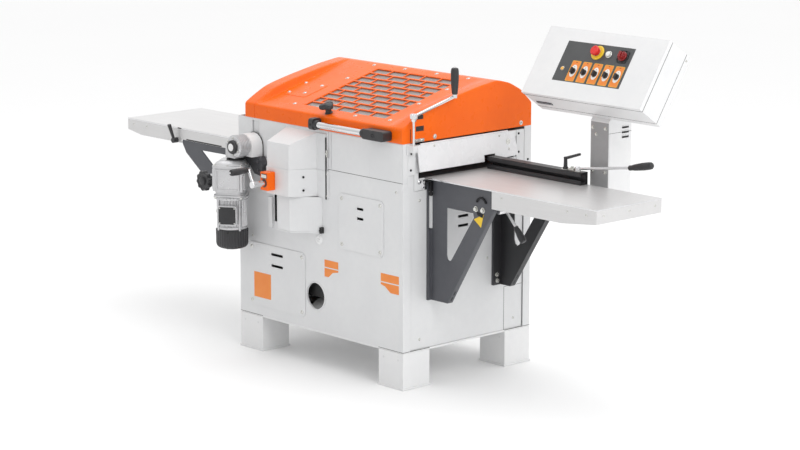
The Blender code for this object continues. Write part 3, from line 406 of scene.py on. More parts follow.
def cap_screw(at, direction, r=0.0055, height=0.006):
    """Cylinder head with knurled sides and a socket."""
    profile = [(-0.0004, r), (height * 0.88, r), (height, r * 0.88), (height, r * 0.52),
               (height * 0.45, r * 0.48)]
    return turned(at, direction, profile, 24, radius=lambda a: 1.0 + 0.03 * math.cos(12 * a))


def moved(shells, matrix):
    return [([tuple(matrix @ Vector(p)) for p in v], f) for v, f in shells]


def many(shape, places, *args, **kwargs):
    return [shell for at in places for shell in shape(at, *args, **kwargs)]


def smooth_by_angle(limit):
    """Node group that shades smooth except over edges sharper than the limit."""
    name = f"smooth_{round(limit)}"
    if name in bpy.data.node_groups:
        return bpy.data.node_groups[name]
    tree = bpy.data.node_groups.new(name, "GeometryNodeTree")
    tree.interface.new_socket("Geometry", in_out="INPUT", socket_type="NodeSocketGeometry")
    tree.interface.new_socket("Geometry", in_out="OUTPUT", socket_type="NodeSocketGeometry")
    start = tree.nodes.new("NodeGroupInput")
    end = tree.nodes.new("NodeGroupOutput")
    angle = tree.nodes.new("GeometryNodeInputMeshEdgeAngle")
    above = tree.nodes.new("FunctionNodeCompare")
    above.inputs[1].default_value = math.radians(limit)
    sharp = tree.nodes.new("GeometryNodeSetShadeSmooth")
    sharp.domain = "EDGE"
    sharp.inputs["Shade Smooth"].default_value = False
    soft = tree.nodes.new("GeometryNodeSetShadeSmooth")
    tree.links.new(angle.outputs["Unsigned Angle"], above.inputs[0])
    tree.links.new(start.outputs[0], soft.inputs["Geometry"])
    tree.links.new(soft.outputs["Geometry"], sharp.inputs["Geometry"])
    tree.links.new(above.outputs["Result"], sharp.inputs["Selection"])
    tree.links.new(sharp.outputs["Geometry"], end.inputs[0])
    return tree


def soften(obj, bevel, limit=35.0, segments=2, weld=False, clean=True):
    """Breaks the sharp edges and shades the result smoothly, flat faces staying flat."""
    if weld:
        mod = obj.modifiers.new("weld", "WELD")
        mod.merge_threshold = 0.00002
    if weld and clean:
        mod = obj.modifiers.new("coplanar", "DECIMATE")
        mod.decimate_type = "DISSOLVE"
        mod.angle_limit = math.radians(0.6)
    if bevel:
        mod = obj.modifiers.new("bevel", "BEVEL")
        mod.width = bevel
        mod.segments = segments
        mod.limit_method = "ANGLE"
        mod.angle_limit = math.radians(limit)
        mod.miter_outer = "MITER_ARC"
    mod = obj.modifiers.new("smooth", "NODES")
    mod.node_group = smooth_by_angle(48.0 if bevel else limit)
    mod = obj.modifiers.new("weighted", "WEIGHTED_NORMAL")
    mod.keep_sharp = True
    mod.weight = 80


def make(name, shells, mat, body, bevel=0.0006, limit=35.0, segments=2, replaces=()):
    """One visible piece from its shells, with its finish, riding on its body."""
    bm = bmesh.new()
    for v, f in shells:
        made = [bm.verts.new(SHIFT @ Vector(p)) for p in v]
        for face in f:
            bm.faces.new([made[i] for i in face])
    bmesh.ops.recalc_face_normals(bm, faces=bm.faces)
    mesh = bpy.data.meshes.new(name)
    bm.to_mesh(mesh)
    bm.free()
    obj = bpy.data.objects.new(name, mesh)
    bpy.context.scene.collection.objects.link(obj)
    mesh.materials.append(MATS[mat])
    soften(obj, bevel, limit, segments)
    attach(obj, body)
    for node in replaces:
        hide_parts(node)
    return obj


# ---------------------------------------------------------------- solids that stay: finish and broken edges
KEPT = {
    "white_paint": (
        "front_panel upper_front_panel rear_panel infeed_end_panel outfeed_end_panel "
        "access_panel_low access_panel_mid drive_cover drive_cover_lower crank_bracket"),
    "light_paint": "base_frame gearbox_arch control_pedestal control_box control_door",
    "table_steel": "infeed_table outfeed_table",
    "grey_paint": "infeed_bracket_front outfeed_brace_front outfeed_brace_rear",
    "dark_paint": "infeed_bracket_rear fence_rail",
    "orange_paint": "position_counter",
    "cast_iron": "bed_casting head_carriage side_carriage cutter_motor",
    "cast_aluminium": "feed_roller_front feed_roller_rear",
    "bright_steel": "height_crank side_crank top_cutterhead bottom_cutterhead inner_side_spindle "
                    "outer_side_spindle",
    "black_plastic": "height_crank_grip side_crank_grip fence_clamp_lever outfeed_clamp_lever "
                     "motor_switch_1 motor_switch_2 motor_switch_3 motor_switch_4 motor_switch_5",
    "red_plastic": "estop_button",
    "ivory_plastic": "start_button",
}
OPEN_SHEETS = (
    "front_panel upper_front_panel rear_panel infeed_end_panel outfeed_end_panel access_panel_low "
    "access_panel_mid infeed_bracket_front infeed_bracket_rear outfeed_brace_front outfeed_brace_rear "
    "control_pedestal control_door drive_cover bed_casting head_carriage side_carriage fence_rail").split()
EDGE = {"white_paint": 0.0012, "light_paint": 0.0012, "table_steel": 0.0010, "grey_paint": 0.0010,
        "dark_paint": 0.0008,
        "orange_paint": 0.0006, "cast_iron": 0.0012, "cast_aluminium": 0.0010, "bright_steel": 0.0006,
        "black_plastic": 0.0008, "red_plastic": 0.0010, "ivory_plastic": 0.0006}
for finish, names in KEPT.items():
    for node in names.split():
        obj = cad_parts[node]
        obj.data.materials.clear()
        obj.data.materials.append(MATS[finish])
        soften(obj, EDGE[finish], weld=True, clean=node not in OPEN_SHEETS)


# ---------------------------------------------------------------- hood: one folded sheet with arched ends
RISE = [(-0.360, 0.0), (-0.330, 0.0098), (-0.285, 0.0214), (-0.243, 0.0288), (-0.150, 0.0282),
        (-0.043, 0.0220), (0.060, 0.0137), (0.165, 0.0)]


def rise(y):
    """How far the arched ends stand above the flat middle, as a smooth curve through RISE."""
    for k in range(len(RISE) - 1):
        if y <= RISE[k + 1][0]:
            break
    (y0, r0), (y1, r1) = RISE[k], RISE[k + 1]
    before = RISE[max(k - 1, 0)]
    after = RISE[min(k + 2, len(RISE) - 1)]
    m0 = (r1 - before[1]) / (y1 - before[0])
    m1 = (after[1] - r0) / (after[0] - y0)
    d = y1 - y0
    t = max(0.0, min(1.0, (y - y0) / d))
    return ((2 * t**3 - 3 * t**2 + 1) * r0 + (t**3 - 2 * t**2 + t) * d * m0
            + (3 * t**2 - 2 * t**3) * r1 + (t**3 - t**2) * d * m1)


def top_z(y, arch=0.0):
    return LIP_Z + SLOPE * (y + HOOD_Y) + arch * rise(y)


def bend(a, at, b, steps=4):
    out = []
    for i in range(steps + 1):
        t = i / steps
        out.append(tuple(a[k] * (1 - t) ** 2 + at[k] * 2 * t * (1 - t) + b[k] * t * t for k in (0, 1)))
    return out


REAR = [(0.235, 1.182), (0.297, 1.150), (HOOD_Y, 1.092)]
ROWS_Y = [-0.338, -0.322, WIN_Y0, -0.281, -0.262, -0.243, -0.220, -0.196, -0.173, -0.150, -0.123, -0.096,
          -0.069, -0.043, -0.017, 0.009, 0.034, 0.060, 0.086, WIN_Y1, 0.132]


def section(arch, inset=0.0):
    """Outline of the hood at one station, from the front lip over the ridge to the rear lip."""
    lip = bend((-HOOD_Y, LIP_Z - 0.009), (-HOOD_Y, LIP_Z), (-HOOD_Y + 0.009, top_z(-HOOD_Y + 0.009, arch)))
    ridge = bend((0.147, top_z(0.147, arch)), (PEAK_Y, PEAK_Z), (0.184, PEAK_Z - 0.0049))
    heel = bend((0.222, 1.1855), REAR[0], (0.248, 1.1753)) + bend((0.288, 1.1547), REAR[1], (0.305, 1.1426))
    tail = bend((0.353, 1.0984), REAR[2], (HOOD_Y, 1.084))
    line = ([(-HOOD_Y, HOOD_Z)] + lip + [(y, top_z(y, arch)) for y in ROWS_Y] + ridge + heel + tail
            + [(HOOD_Y, HOOD_Z)])
    out = []
    for i, (y, z) in enumerate(line):
        ahead = Vector(line[min(i + 1, len(line) - 1)]) - Vector(line[max(i - 1, 0)])
        ahead.normalize()
        normal = Vector((-ahead.y, ahead.x))
        lift = 0.0 if i in (0, len(line) - 1) else normal.y * inset
        out.append((y - normal.x * inset, z - lift))
    return out


def ease(t):
    return t * t * (3 - 2 * t)


END_R = 0.006
stations = []
for k in range(5):
    a = math.radians(90 * k / 4)
    stations.append((HOOD_X0 + END_R - END_R * math.cos(a), 1.0, END_R * (1 - math.sin(a))))
for dx, depth in ((-0.0016, 0.0), (0.0, 0.0022), (0.0016, 0.0)):
    stations.append((RIM_X - 0.017 + dx, 1.0, depth))
stations += [(RIM_X - 0.012 + 0.014 * k / 6, 1 - ease(k / 6), 0.0) for k in range(7)]
stations += [(x, 0.0, 0.0) for x in (-0.30, WIN_X0, 0.0, 0.17, WIN_X1, 0.385)]
stations += [(0.40 + 0.075 * k / 9, ease(k / 9), 0.0) for k in range(1, 10)]
for k in range(5):
    a = math.radians(90 * k / 4)
    stations.append((BODY_X - END_R + END_R * math.sin(a), 1.0, END_R * (1 - math.cos(a))))
lines = [[(x, y, z) for y, z in section(arch, inset)] for x, arch, inset in stations]
width = len(lines[0])
hood_v = [p for line in lines for p in line]
hood_f = [tuple(range(width)), tuple(range(len(hood_v) - 1, len(hood_v) - width - 1, -1))]
row_of = [p[1] for p in lines[10]]
for k in range(len(stations) - 1):
    for i in range(width - 1):
        open_x = WIN_X0 - 1e-6 < stations[k][0] and stations[k + 1][0] < WIN_X1 + 1e-6
        open_y = WIN_Y0 - 1e-6 < row_of[i] and row_of[i + 1] < WIN_Y1 + 1e-6
        if not (open_x and open_y):
            hood_f.append((k * width + i, k * width + i + 1, (k + 1) * width + i + 1, (k + 1) * width + i))
hood = make("hood_sheet", [(hood_v, hood_f)], "orange_paint", "hood", 0, 32.0,
            replaces=["hood_shell"])
sheet = hood.modifiers.new("thickness", "SOLIDIFY")
sheet.thickness = HOOD_T
sheet.offset = -1.0
sheet.use_even_offset = True
hood.modifiers.move(len(hood.modifiers) - 1, 0)

# Plane of the hood's top: x along the machine, y up the slope, z out of the sheet
up_slope = Vector((0, 1, SLOPE)).normalized()
out_of = Vector((0, -SLOPE, 1)).normalized()
PLANE = Matrix(((1, 0, 0, 0), (0, up_slope.y, out_of.y, -HOOD_Y), (0, up_slope.z, out_of.z, LIP_Z),
                (0, 0, 0, 1)))
STRETCH = math.sqrt(1 + SLOPE * SLOPE)


def slope_y(y):
    return (y + HOOD_Y) * STRETCH


def on_top(x, y, lift=0.0):
    return PLANE @ Vector((x, slope_y(y), lift))


# Window: brick-pattern grate in the opening, smoked sheet under it, screwed frame round it
w0, w1 = slope_y(WIN_Y0), slope_y(WIN_Y1)
GRATE_ROWS, GRATE_COLS = 9, 5
bar, tie = 0.0085, 0.0065
pitch_v, pitch_u = (w1 - w0) / GRATE_ROWS, (WIN_X1 - WIN_X0) / GRATE_COLS
bars = box(WIN_X0 - 0.004, WIN_X0 + tie / 2, w0, w1, -0.0055, -0.0008)
bars += box(WIN_X1 - tie / 2, WIN_X1 + 0.004, w0, w1, -0.0055, -0.0008)
for r in range(GRATE_ROWS + 1):
    v = w0 + r * pitch_v
    bars += box(WIN_X0 - 0.002, WIN_X1 + 0.002, v - bar / 2, v + bar / 2, -0.0052, -0.0005)
    if r < GRATE_ROWS:
        shift = 0.5 if r % 2 else 0.0
        for c in range(1 if not shift else 0, GRATE_COLS):
            u = WIN_X0 + (c + shift) * pitch_u
            bars += box(u - tie / 2, u + tie / 2, v, v + pitch_v, -0.0050, -0.0007)
make("hood_window_grate", moved(bars, PLANE), "orange_paint", "hood", 0.0007,
     replaces=["hood_grate"])
pane = moved(box(WIN_X0 - 0.020, WIN_X1 + 0.020, w0 - 0.020, w1 + 0.020, -0.0100, -0.0064), PLANE)
make("hood_window_pane", pane, "smoked_sheet", "hood", 0.0005)
clips = []
for x in (WIN_X0 - 0.014, 0.0925, WIN_X1 + 0.014):
    for v in (w0 - 0.013, w1 + 0.013):
        clips += turned(PLANE @ Vector((x, v, -0.0115)), -out_of,
                        [(0, 0.007), (0.004, 0.007), (0.006, 0.004)], 14)
make("window_pane_nuts", clips, "zinc", "hood", 0.0004)

TOP_SCREWS = [(-0.356, -0.114), (-0.347, -0.214), (-0.262, -0.201), (-0.249, -0.118), (-0.205, -0.015),
              (-0.204, 0.135), (-0.017, 0.140), (-0.209, -0.301), (0.183, -0.316), (0.375, -0.303),
              (0.362, -0.134), (0.362, 0.020), (0.175, 0.140), (0.362, 0.140)]
shells = []
for x, y in TOP_SCREWS:
    shells += button_screw(on_top(x, y, 0.0016 if x < -0.24 else 0.0), out_of, 0.0065, 0.0034)
    shells += washer(on_top(x, y, 0.0010 if x < -0.24 else -0.0002), out_of, 0.003, 0.0088, 0.0009, 20)
make("hood_top_screws", shells, "zinc", "hood", 0.0003)
pad = prism(corner_rounded(-0.362, -0.222, slope_y(-0.238), slope_y(-0.100), 0.014), "z", -0.0010, 0.0014)
make("hood_top_pad", moved(pad, PLANE), "orange_paint", "hood", 0.0006)

# End plate of the hood: fold line, slots, keeper, screws
X1 = BODY_X
# Black strips on the end plates: painted shade for the fold line and for the insides of the slots
shells = box(X1 - 0.001, X1 + 0.0008, -0.319, -0.3165, 1.000, 1.052)
shells += box(X1 - 0.001, X1 + 0.0010, -0.291, -0.248, 1.040, 1.060)
shells += box(X1 - 0.001, X1 + 0.0010, -0.283, -0.251, 1.087, 1.104)
shells += box(HOOD_X0 - 0.0008, HOOD_X0 + 0.001, 0.180, 0.235, 1.040, 1.060)
make("hood_end_painted_shade", shells, "black_rubber", "hood", 0.0)
lips = prism(corner_rounded(-0.2935, -0.2455, 1.0375, 1.0625, 0.004), "x", X1 - 0.001, X1 + 0.0007)
lips += prism(corner_rounded(-0.2855, -0.2485, 1.0845, 1.1065, 0.004), "x", X1 - 0.001, X1 + 0.0007)
make("hood_slot_rims", lips, "orange_paint", "hood", 0.0004)
shells = many(button_screw, [(X1, -0.187, 1.010), (X1, 0.297, 1.012)], RIGHT, 0.0068, 0.004)
shells += many(button_screw, [(HOOD_X0, -0.290, 1.012), (HOOD_X0, 0.297, 1.012)], LEFT, 0.0068, 0.004)
shells += washer((X1 - 0.0002, -0.187, 1.010), RIGHT, 0.003, 0.0095, 0.0011)
shells += washer((X1 - 0.0002, 0.297, 1.012), RIGHT, 0.003, 0.0095, 0.0011)
make("hood_end_screws", shells, "zinc", "hood", 0.0003)
keeper = box(X1 - 0.0005, X1 + 0.0035, -0.301, -0.247, 0.9975, 1.0105)
keeper += turned((X1 + 0.003, -0.262, 1.004), RIGHT, [(0, 0.0062), (0.004, 0.0062), (0.006, 0.004)], 16)
keeper += turned((X1 + 0.003, -0.288, 1.004), RIGHT, [(0, 0.0045), (0.003, 0.0045), (0.004, 0.003)], 16)
make("hood_keeper", keeper, "zinc", "hood", 0.0006)

# Handle bar between two black mounts, and the wing knob
H_Y, H_Z = -0.391, 1.022
bar_line = [(0.018, 0.0118), (0.020, 0.0130), (0.329, 0.0130), (0.331, 0.0118)]
make("hood_handle_bar", turned((0.0, H_Y, H_Z), RIGHT, bar_line, 28), "bright_steel", "hood", 0.0,
     replaces=["hood_handle"])
left_mount = prism(corner_rounded(H_Y - 0.019, -HOOD_Y - 0.0003, H_Z - 0.022, H_Z + 0.025, 0.013), "x",
                   0.000, 0.026)
left_mount += turned((0.020, H_Y, H_Z), RIGHT, [(0, 0.0185), (0.016, 0.0185), (0.021, 0.0165),
                                                (0.021, 0.0132), (0.012, 0.0131)], 28)
right_mount = prism(corner_rounded(0.322, 0.448, H_Z - 0.020, H_Z + 0.020, 0.010, 5), "y", H_Y - 0.017,
                    -HOOD_Y - 0.0003)
right_mount += turned((0.326, H_Y, H_Z), LEFT, [(0, 0.0185), (0.014, 0.0185), (0.018, 0.0165),
                                                (0.018, 0.0132), (0.010, 0.0131)], 28)
right_mount += washer((0.385, H_Y - 0.0165, H_Z), FRONT, 0.0085, 0.0125, 0.0012, 24)
make("handle_mounts", left_mount + right_mount, "black_plastic", "hood", 0.0032, 40.0, 3)
shells = turned((0.385, H_Y - 0.0172, H_Z), FRONT, [(-0.002, 0.0075), (0.0002, 0.0075), (0.0004, 0.0045),
                                                    (-0.0015, 0.0042)], 20)
shells += cap_screw((0.0135, H_Y - 0.0185, H_Z), FRONT, 0.0050, 0.0012)
make("handle_mount_screws", shells, "black_oxide", "hood", 0.0003)

knob_at = on_top(0.040, -0.332, 0.0003)


def three_lobes(a):
    return 1.0 + 0.30 * math.cos(3 * a + 0.6)


stem = [(0, 0.0165), (0.004, 0.0165), (0.006, 0.0125), (0.020, 0.0120), (0.022, 0.0125)]
head = [(0.019, 0.0120), (0.021, 0.0215), (0.025, 0.0262), (0.034, 0.0270), (0.040, 0.0245), (0.043, 0.0180),
        (0.0435, 0.0090), (0.0425, 0.0085)]
shells = turned(knob_at, out_of, stem, 28) + turned(knob_at, out_of, head, 48, radius=three_lobes)
make("hood_wing_knob", shells, "black_plastic", "hood_knob", 0.0008, 40.0,
     replaces=["hood_knob"])

# Hinges on the rear edge: knuckles alternate between the hood and the rear wall
AXIS_Y, AXIS_Z = HOOD_Y + 0.004, 0.9955
hood_leaf, wall_leaf = [], []
for x in (-0.36, 0.26):
    for k in range(5):
        a, b = x + 0.024 * k + 0.0006, x + 0.024 * (k + 1) - 0.0006
        target = wall_leaf if k % 2 == 0 else hood_leaf
        target += rod((a, AXIS_Y, AXIS_Z), (b, AXIS_Y, AXIS_Z), 0.0055, 20)
        if k % 2 == 0:
            target += box(a, b, BODY_Y - 0.0002, AXIS_Y - 0.0035, AXIS_Z - 0.044, AXIS_Z)
        else:
            target += box(a, b, HOOD_Y - 0.0002, AXIS_Y - 0.0005, AXIS_Z, AXIS_Z + 0.042)
    wall_leaf += box(x, x + 0.12, BODY_Y - 0.0002, BODY_Y + 0.0025, AXIS_Z - 0.046, AXIS_Z - 0.008)
    hood_leaf += box(x, x + 0.12, HOOD_Y - 0.0002, HOOD_Y + 0.0025, AXIS_Z + 0.009, AXIS_Z + 0.044)
    for dx in (0.018, 0.060, 0.102):
        wall_leaf += button_screw((x + dx, BODY_Y + 0.0025, AXIS_Z - 0.030), BACK, 0.0048, 0.0024)
        hood_leaf += button_screw((x + dx, HOOD_Y + 0.0025, AXIS_Z + 0.030), BACK, 0.0048, 0.0024)
make("hood_hinge_upper_leaves", hood_leaf, "zinc", "hood", 0.0004)
make("hood_hinge_lower_leaves", wall_leaf, "zinc", "machine", 0.0004)


# ---------------------------------------------------------------- cabinet: fasteners, trims and covers
FACE_Y = WALL_Y - 0.0003
PLATE_Y = FACE_Y - 0.003
cover_screws = [(x, PLATE_Y, z) for x0, x1, z0, z1 in ((-0.447, -0.084, 0.196, 0.468),
                                                       (0.128, 0.398, 0.524, 0.753))
                for x in (x0 + 0.02, x1 - 0.02) for z in (z0 + 0.02, z1 - 0.02)]
shells = many(button_screw, cover_screws, FRONT, 0.0066, 0.0036)
shells += many(washer, [(x, PLATE_Y, z) for x, _, z in cover_screws], FRONT, 0.003, 0.0088, 0.0010)
shells += many(button_screw, [(-0.423, WALL_Y, 0.493), (-0.470, WALL_Y, 0.800), (0.470, WALL_Y, 0.800)],
               FRONT, 0.0055, 0.003)
make("front_cover_screws", shells, "zinc", "machine", 0.0003)

# Pressed frames of the vent slots
shells = []
for x0, x1, z, y in ((-0.300, -0.224, 0.431, PLATE_Y), (-0.300, -0.224, 0.383, PLATE_Y),
                     (0.240, 0.280, 0.703, PLATE_Y), (0.240, 0.280, 0.663, PLATE_Y)):
    outer = corner_rounded(x0 - 0.0035, x1 + 0.0035, z - 0.0095, z + 0.0095, 0.004)
    inner = corner_rounded(x0 + 0.0004, x1 - 0.0004, z - 0.0056, z + 0.0056, 0.0022)
    n = len(outer)
    v = [(a, y + 0.0002, b) for a, b in outer] + [(a, y - 0.0008, b) for a, b in outer]
    v += [(a, y - 0.0004, b) for a, b in inner] + [(a, y + 0.0030, b) for a, b in inner]
    f = [(k * n + i, k * n + (i + 1) % n, (k + 1) % 4 * n + (i + 1) % n, (k + 1) % 4 * n + i)
         for k in range(4) for i in range(n)]
    shells += [(v, f)]
make("vent_frames", shells, "white_paint", "machine", 0.0002)
# Black sheets inside the wall behind the vent slots and the open slot: painted shade, so the openings read
# dark
shells = box(-0.306, -0.218, WALL_Y + 0.0200, WALL_Y + 0.0215, 0.370, 0.445)
shells += box(0.234, 0.286, WALL_Y + 0.0200, WALL_Y + 0.0215, 0.650, 0.716)
shells += box(-0.286, -0.258, WALL_Y + 0.0120, WALL_Y + 0.0135, 0.570, 0.695)
make("slot_painted_shade", shells, "black_rubber", "machine", 0.0004)

# Dust port: rolled edge with its lip, a black sheet behind its upper half that is painted shade, and a light
# tray below that stands in for the bright floor seen through
rim = [(0.0, PORT_R + 0.0004), (0.0, PORT_R + 0.0046), (0.0011, PORT_R + 0.0050), (0.0022, PORT_R + 0.0040),
       (0.0030, PORT_R + 0.0022), (0.0026, PORT_R + 0.0006), (-0.0055, PORT_R - 0.0004),
       (-0.0055, PORT_R + 0.0002)]
make("dust_port_rim", turned((PORT_X, WALL_Y - 0.0001, PORT_Z), FRONT, rim, 56, closed=True), "white_paint",
     "machine", 0.0)
# Black arc behind the upper half of the port: painted shade inside the opening
arc = [(PORT_X + 0.088 * math.cos(math.radians(a)), PORT_Z + 0.088 * math.sin(math.radians(a)))
       for a in range(-8, 189, 14)]
make("dust_port_painted_shade", prism(arc, "y", WALL_Y + 0.030, WALL_Y + 0.034), "black_rubber", "machine", 0.0008)
# Light tray under the port: painted light, standing in for the bright floor seen through the lower half
tray = prism([(WALL_Y + 0.010, PORT_Z - 0.075), (WALL_Y + 0.120, PORT_Z - 0.020),
              (WALL_Y + 0.120, PORT_Z - 0.016), (WALL_Y + 0.010, PORT_Z - 0.071)], "x", PORT_X - 0.075,
             PORT_X + 0.075)
tray += box(PORT_X - 0.085, PORT_X + 0.085, WALL_Y + 0.120, WALL_Y + 0.124, PORT_Z - 0.080, PORT_Z + 0.012)
make("dust_port_painted_light_tray", tray, "light_paint", "machine", 0.0008)

# Pressed round boss with a coin slot, the welded pull ring, and the strip beside the open slot
boss = turned((0.004, WALL_Y, 0.541), FRONT, [(-0.0005, 0.0215), (0.0025, 0.0205), (0.0050, 0.0165),
                                              (0.0058, 0.0120), (0.0045, 0.0095), (0.0040, 0.0040)], 40)
boss += box(-0.0045, 0.0125, WALL_Y - 0.0072, WALL_Y - 0.0030, 0.5390, 0.5430)
make("coin_lock_boss", boss, "light_paint", "machine", 0.0006)
strip = box(-0.3055, -0.2835, WALL_Y - 0.0120, WALL_Y - 0.0001, 0.549, 0.676)
make("slot_guide_strip", strip, "light_paint", "machine", 0.0016)

# Upper front: hinge strip right of the drive cover, its clips, and the raised right-hand panel
post = box(0.0620, 0.0665, WALL_Y - 0.0060, WALL_Y - 0.0001, SEAM_Z + 0.004, 0.9940)
post += box(0.0800, 0.0835, WALL_Y - 0.0030, WALL_Y - 0.0001, SEAM_Z + 0.004, 0.9940)
post += box(0.0610, 0.0650, WALL_Y - 0.0075, WALL_Y - 0.0001, 0.7180, SEAM_Z - 0.004)
post += prism([(0.0650, SEAM_Z - 0.006), (0.0700, SEAM_Z - 0.010), (0.0700, 0.7250), (0.0650, 0.7200)], "y",
              WALL_Y - 0.0030, WALL_Y - 0.0001)
post += box(-0.0060, 0.0610, WALL_Y - 0.0004, WALL_Y + 0.0012, 0.6500, 0.9935)
make("front_hinge_strips", post, "white_paint", "machine", 0.0009)
clip = box(0.0560, 0.0690, WALL_Y - 0.0100, WALL_Y - 0.0058, 0.8890, 0.9180)
clip += turned((0.0625, WALL_Y - 0.0100, 0.9035), FRONT, [(0, 0.0050), (0.0022, 0.0050), (0.0030, 0.0035)],
               16)
clip += many(button_screw, [(0.0605, WALL_Y - 0.0075, 0.8200), (0.0605, WALL_Y - 0.0075, 0.7300)], FRONT,
             0.0042, 0.002)
make("front_hinge_clips", clip, "zinc", "machine", 0.0005)
make("drive_slot_shield", box(-0.4480, -0.3780, WALL_Y + 0.0060, WALL_Y + 0.0074, 0.860, 0.986),
     "white_paint", "head", 0.0005)
lid = prism(corner_rounded(0.0880, 0.5060, SEAM_Z + 0.0030, 0.9935, 0.006), "y", WALL_Y - 0.0016,
            WALL_Y - 0.0001)
make("front_upper_plate", lid, "white_paint", "machine", 0.0006)
joint = box(-0.508, -0.200, WALL_Y - 0.0002, WALL_Y + 0.0012, SEAM_Z - 0.0002, SEAM_Z + 0.0014)
joint += box(0.064, 0.509, WALL_Y - 0.0002, WALL_Y + 0.0012, SEAM_Z - 0.0002, SEAM_Z + 0.0014)
make("front_seam_seal", joint, "black_rubber", "machine", 0.0)

# Plain orange fields: a square on the low cover and two split wings under the upper one
FILM = 0.0005
fields = prism(corner_rounded(-0.4130, -0.3030, 0.2330, 0.3410, 0.0015), "y", PLATE_Y - FILM,
               PLATE_Y + 0.0001)
fields += prism([(0.037, 0.4320), (0.037, 0.4620), (0.122, 0.4620), (0.122, 0.4320)], "y", WALL_Y - FILM,
                WALL_Y + 0.0001)
fields += prism([(0.037, 0.4270), (0.122, 0.4270), (0.122, 0.4200), (0.088, 0.4130), (0.062, 0.3910),
                 (0.037, 0.3910)],
                "y", WALL_Y - FILM, WALL_Y + 0.0001)
fields += prism([(0.379, 0.4290), (0.379, 0.4620), (0.486, 0.4620), (0.486, 0.4290)], "y", WALL_Y - FILM,
                WALL_Y + 0.0001)
fields += prism([(0.379, 0.4240), (0.486, 0.4240), (0.486, 0.3880), (0.437, 0.3880), (0.404, 0.4100),
                 (0.379, 0.4160)],
                "y", WALL_Y - FILM, WALL_Y + 0.0001)
make("front_colour_fields", fields, "label_orange", "machine", 0.0)

# Legs: seam under the cabinet skirt and anchor plugs
LEG_SEAM = (LEG_H + 0.0070, LEG_H + 0.0086)
ANCHOR_Z = 0.120
ANCHOR_PLUG = [(-0.001, 0.0045), (0.0006, 0.0045), (0.0007, 0.0030)]
shells, holes = [], []
for sx in (-1, 1):
    for sy in (-1, 1):
        x0, x1 = sorted((sx * BODY_X, sx * (BODY_X - LEG_W)))
        y0, y1 = sorted((sy * BODY_Y, sy * (BODY_Y - LEG_W)))
        line = 0.0009
        shells += box(x0 - 0.0002, x1 + 0.0002, y0 - 0.0003, y0 + line, *LEG_SEAM)
        shells += box(x0 - 0.0002, x1 + 0.0002, y1 - line, y1 + 0.0003, *LEG_SEAM)
        shells += box(x0 - 0.0003, x0 + line, y0 - 0.0002, y1 + 0.0002, *LEG_SEAM)
        shells += box(x1 - line, x1 + 0.0003, y0 - 0.0002, y1 + 0.0002, *LEG_SEAM)
        for dx in (0.03, LEG_W - 0.03):
            for y, outward in ((y0, FRONT), (y1, BACK)):
                holes += turned((x0 + dx, y, ANCHOR_Z), outward, ANCHOR_PLUG, 16)
make("leg_seams", shells, "black_rubber", "machine", 0.0)
make("leg_plugs", holes, "white_paint", "machine", 0.0)

# Drive cover: belt band standing proud, drip edge over the lower box, screws, latch, gasket
PROUD = 0.0026
NOSE_Y = WALL_Y - 0.107
plan = [(-0.195 - PROUD, FACE_Y), (-0.195 - PROUD, NOSE_Y - PROUD), (-0.057, NOSE_Y - PROUD),
        (0.0035, FACE_Y - 0.0085), (0.060, FACE_Y - 0.0085), (0.060, FACE_Y)]
inner = [(-0.195, FACE_Y), (-0.195, NOSE_Y), (-0.058, NOSE_Y), (0.000, FACE_Y - 0.006),
         (0.060, FACE_Y - 0.006), (0.060, FACE_Y)]


def band(outer, inside, z0, z1):
    """Sheet strip that follows a cover round, between two plans."""
    n = len(outer)
    v = [(x, y, z) for z in (z0, z1) for line in (outer, inside) for x, y in line]
    f = []
    for i in range(n - 1):
        for a, b in ((0, n), (2 * n, 3 * n)):
            f.append((a + i, a + i + 1, b + i + 1, b + i))
        f.append((i, i + 1, 2 * n + i + 1, 2 * n + i))
        f.append((n + i, n + i + 1, 3 * n + i + 1, 3 * n + i))
    f += [(0, n, 3 * n, 2 * n), (n - 1, 2 * n - 1, 4 * n - 1, 3 * n - 1)]
    return [(v, f)]


belt = band(plan, inner, 0.7205, 0.8330)
make("drive_cover_band", belt, "white_paint", "machine", 0.0012)
fold_a, fold_b = Vector((-0.057, NOSE_Y - PROUD, 0)), Vector((0.0035, FACE_Y - 0.0085, 0))
mid_point = fold_a.lerp(fold_b, 0.52)
chamfer = Vector(((fold_b - fold_a).y, -(fold_b - fold_a).x, 0)).normalized()
shells = many(cap_screw, [mid_point + Vector((0, 0, 0.802)), mid_point + Vector((0, 0, 0.747))], chamfer,
              0.0048, 0.004)
make("drive_cover_screws", shells, "black_oxide", "machine", 0.0003)
latch = box(0.0240, 0.0345, FACE_Y - 0.0160, FACE_Y + 0.0002, 0.5700, 0.5950)
latch += turned((0.029, FACE_Y - 0.016, 0.5825), FRONT, [(0, 0.0042), (0.003, 0.0042), (0.004, 0.003)], 16)
latch += box(0.0560, 0.0610, FACE_Y - 0.0100, FACE_Y - 0.0062, 0.7150, 0.9700)
latch += prism([(-0.218, 0.812), (-0.202, 0.812), (-0.2045, 0.826)], "y", FACE_Y - 0.030, FACE_Y + 0.0002)
make("drive_cover_gasket", latch, "black_rubber", "machine", 0.0006)
lip = [(-0.150, FACE_Y), (-0.150, WALL_Y - 0.092), (-0.072, WALL_Y - 0.092), (0.014, FACE_Y - 0.016),
       (0.026, FACE_Y)]
lip_out = [(-0.1525, FACE_Y), (-0.1525, WALL_Y - 0.0945), (-0.0712, WALL_Y - 0.0945),
           (0.0165, FACE_Y - 0.0172), (0.0290, FACE_Y)]
make("drive_cover_lip", band(lip_out, lip, 0.5702, 0.5742), "white_paint", "machine", 0.0006)

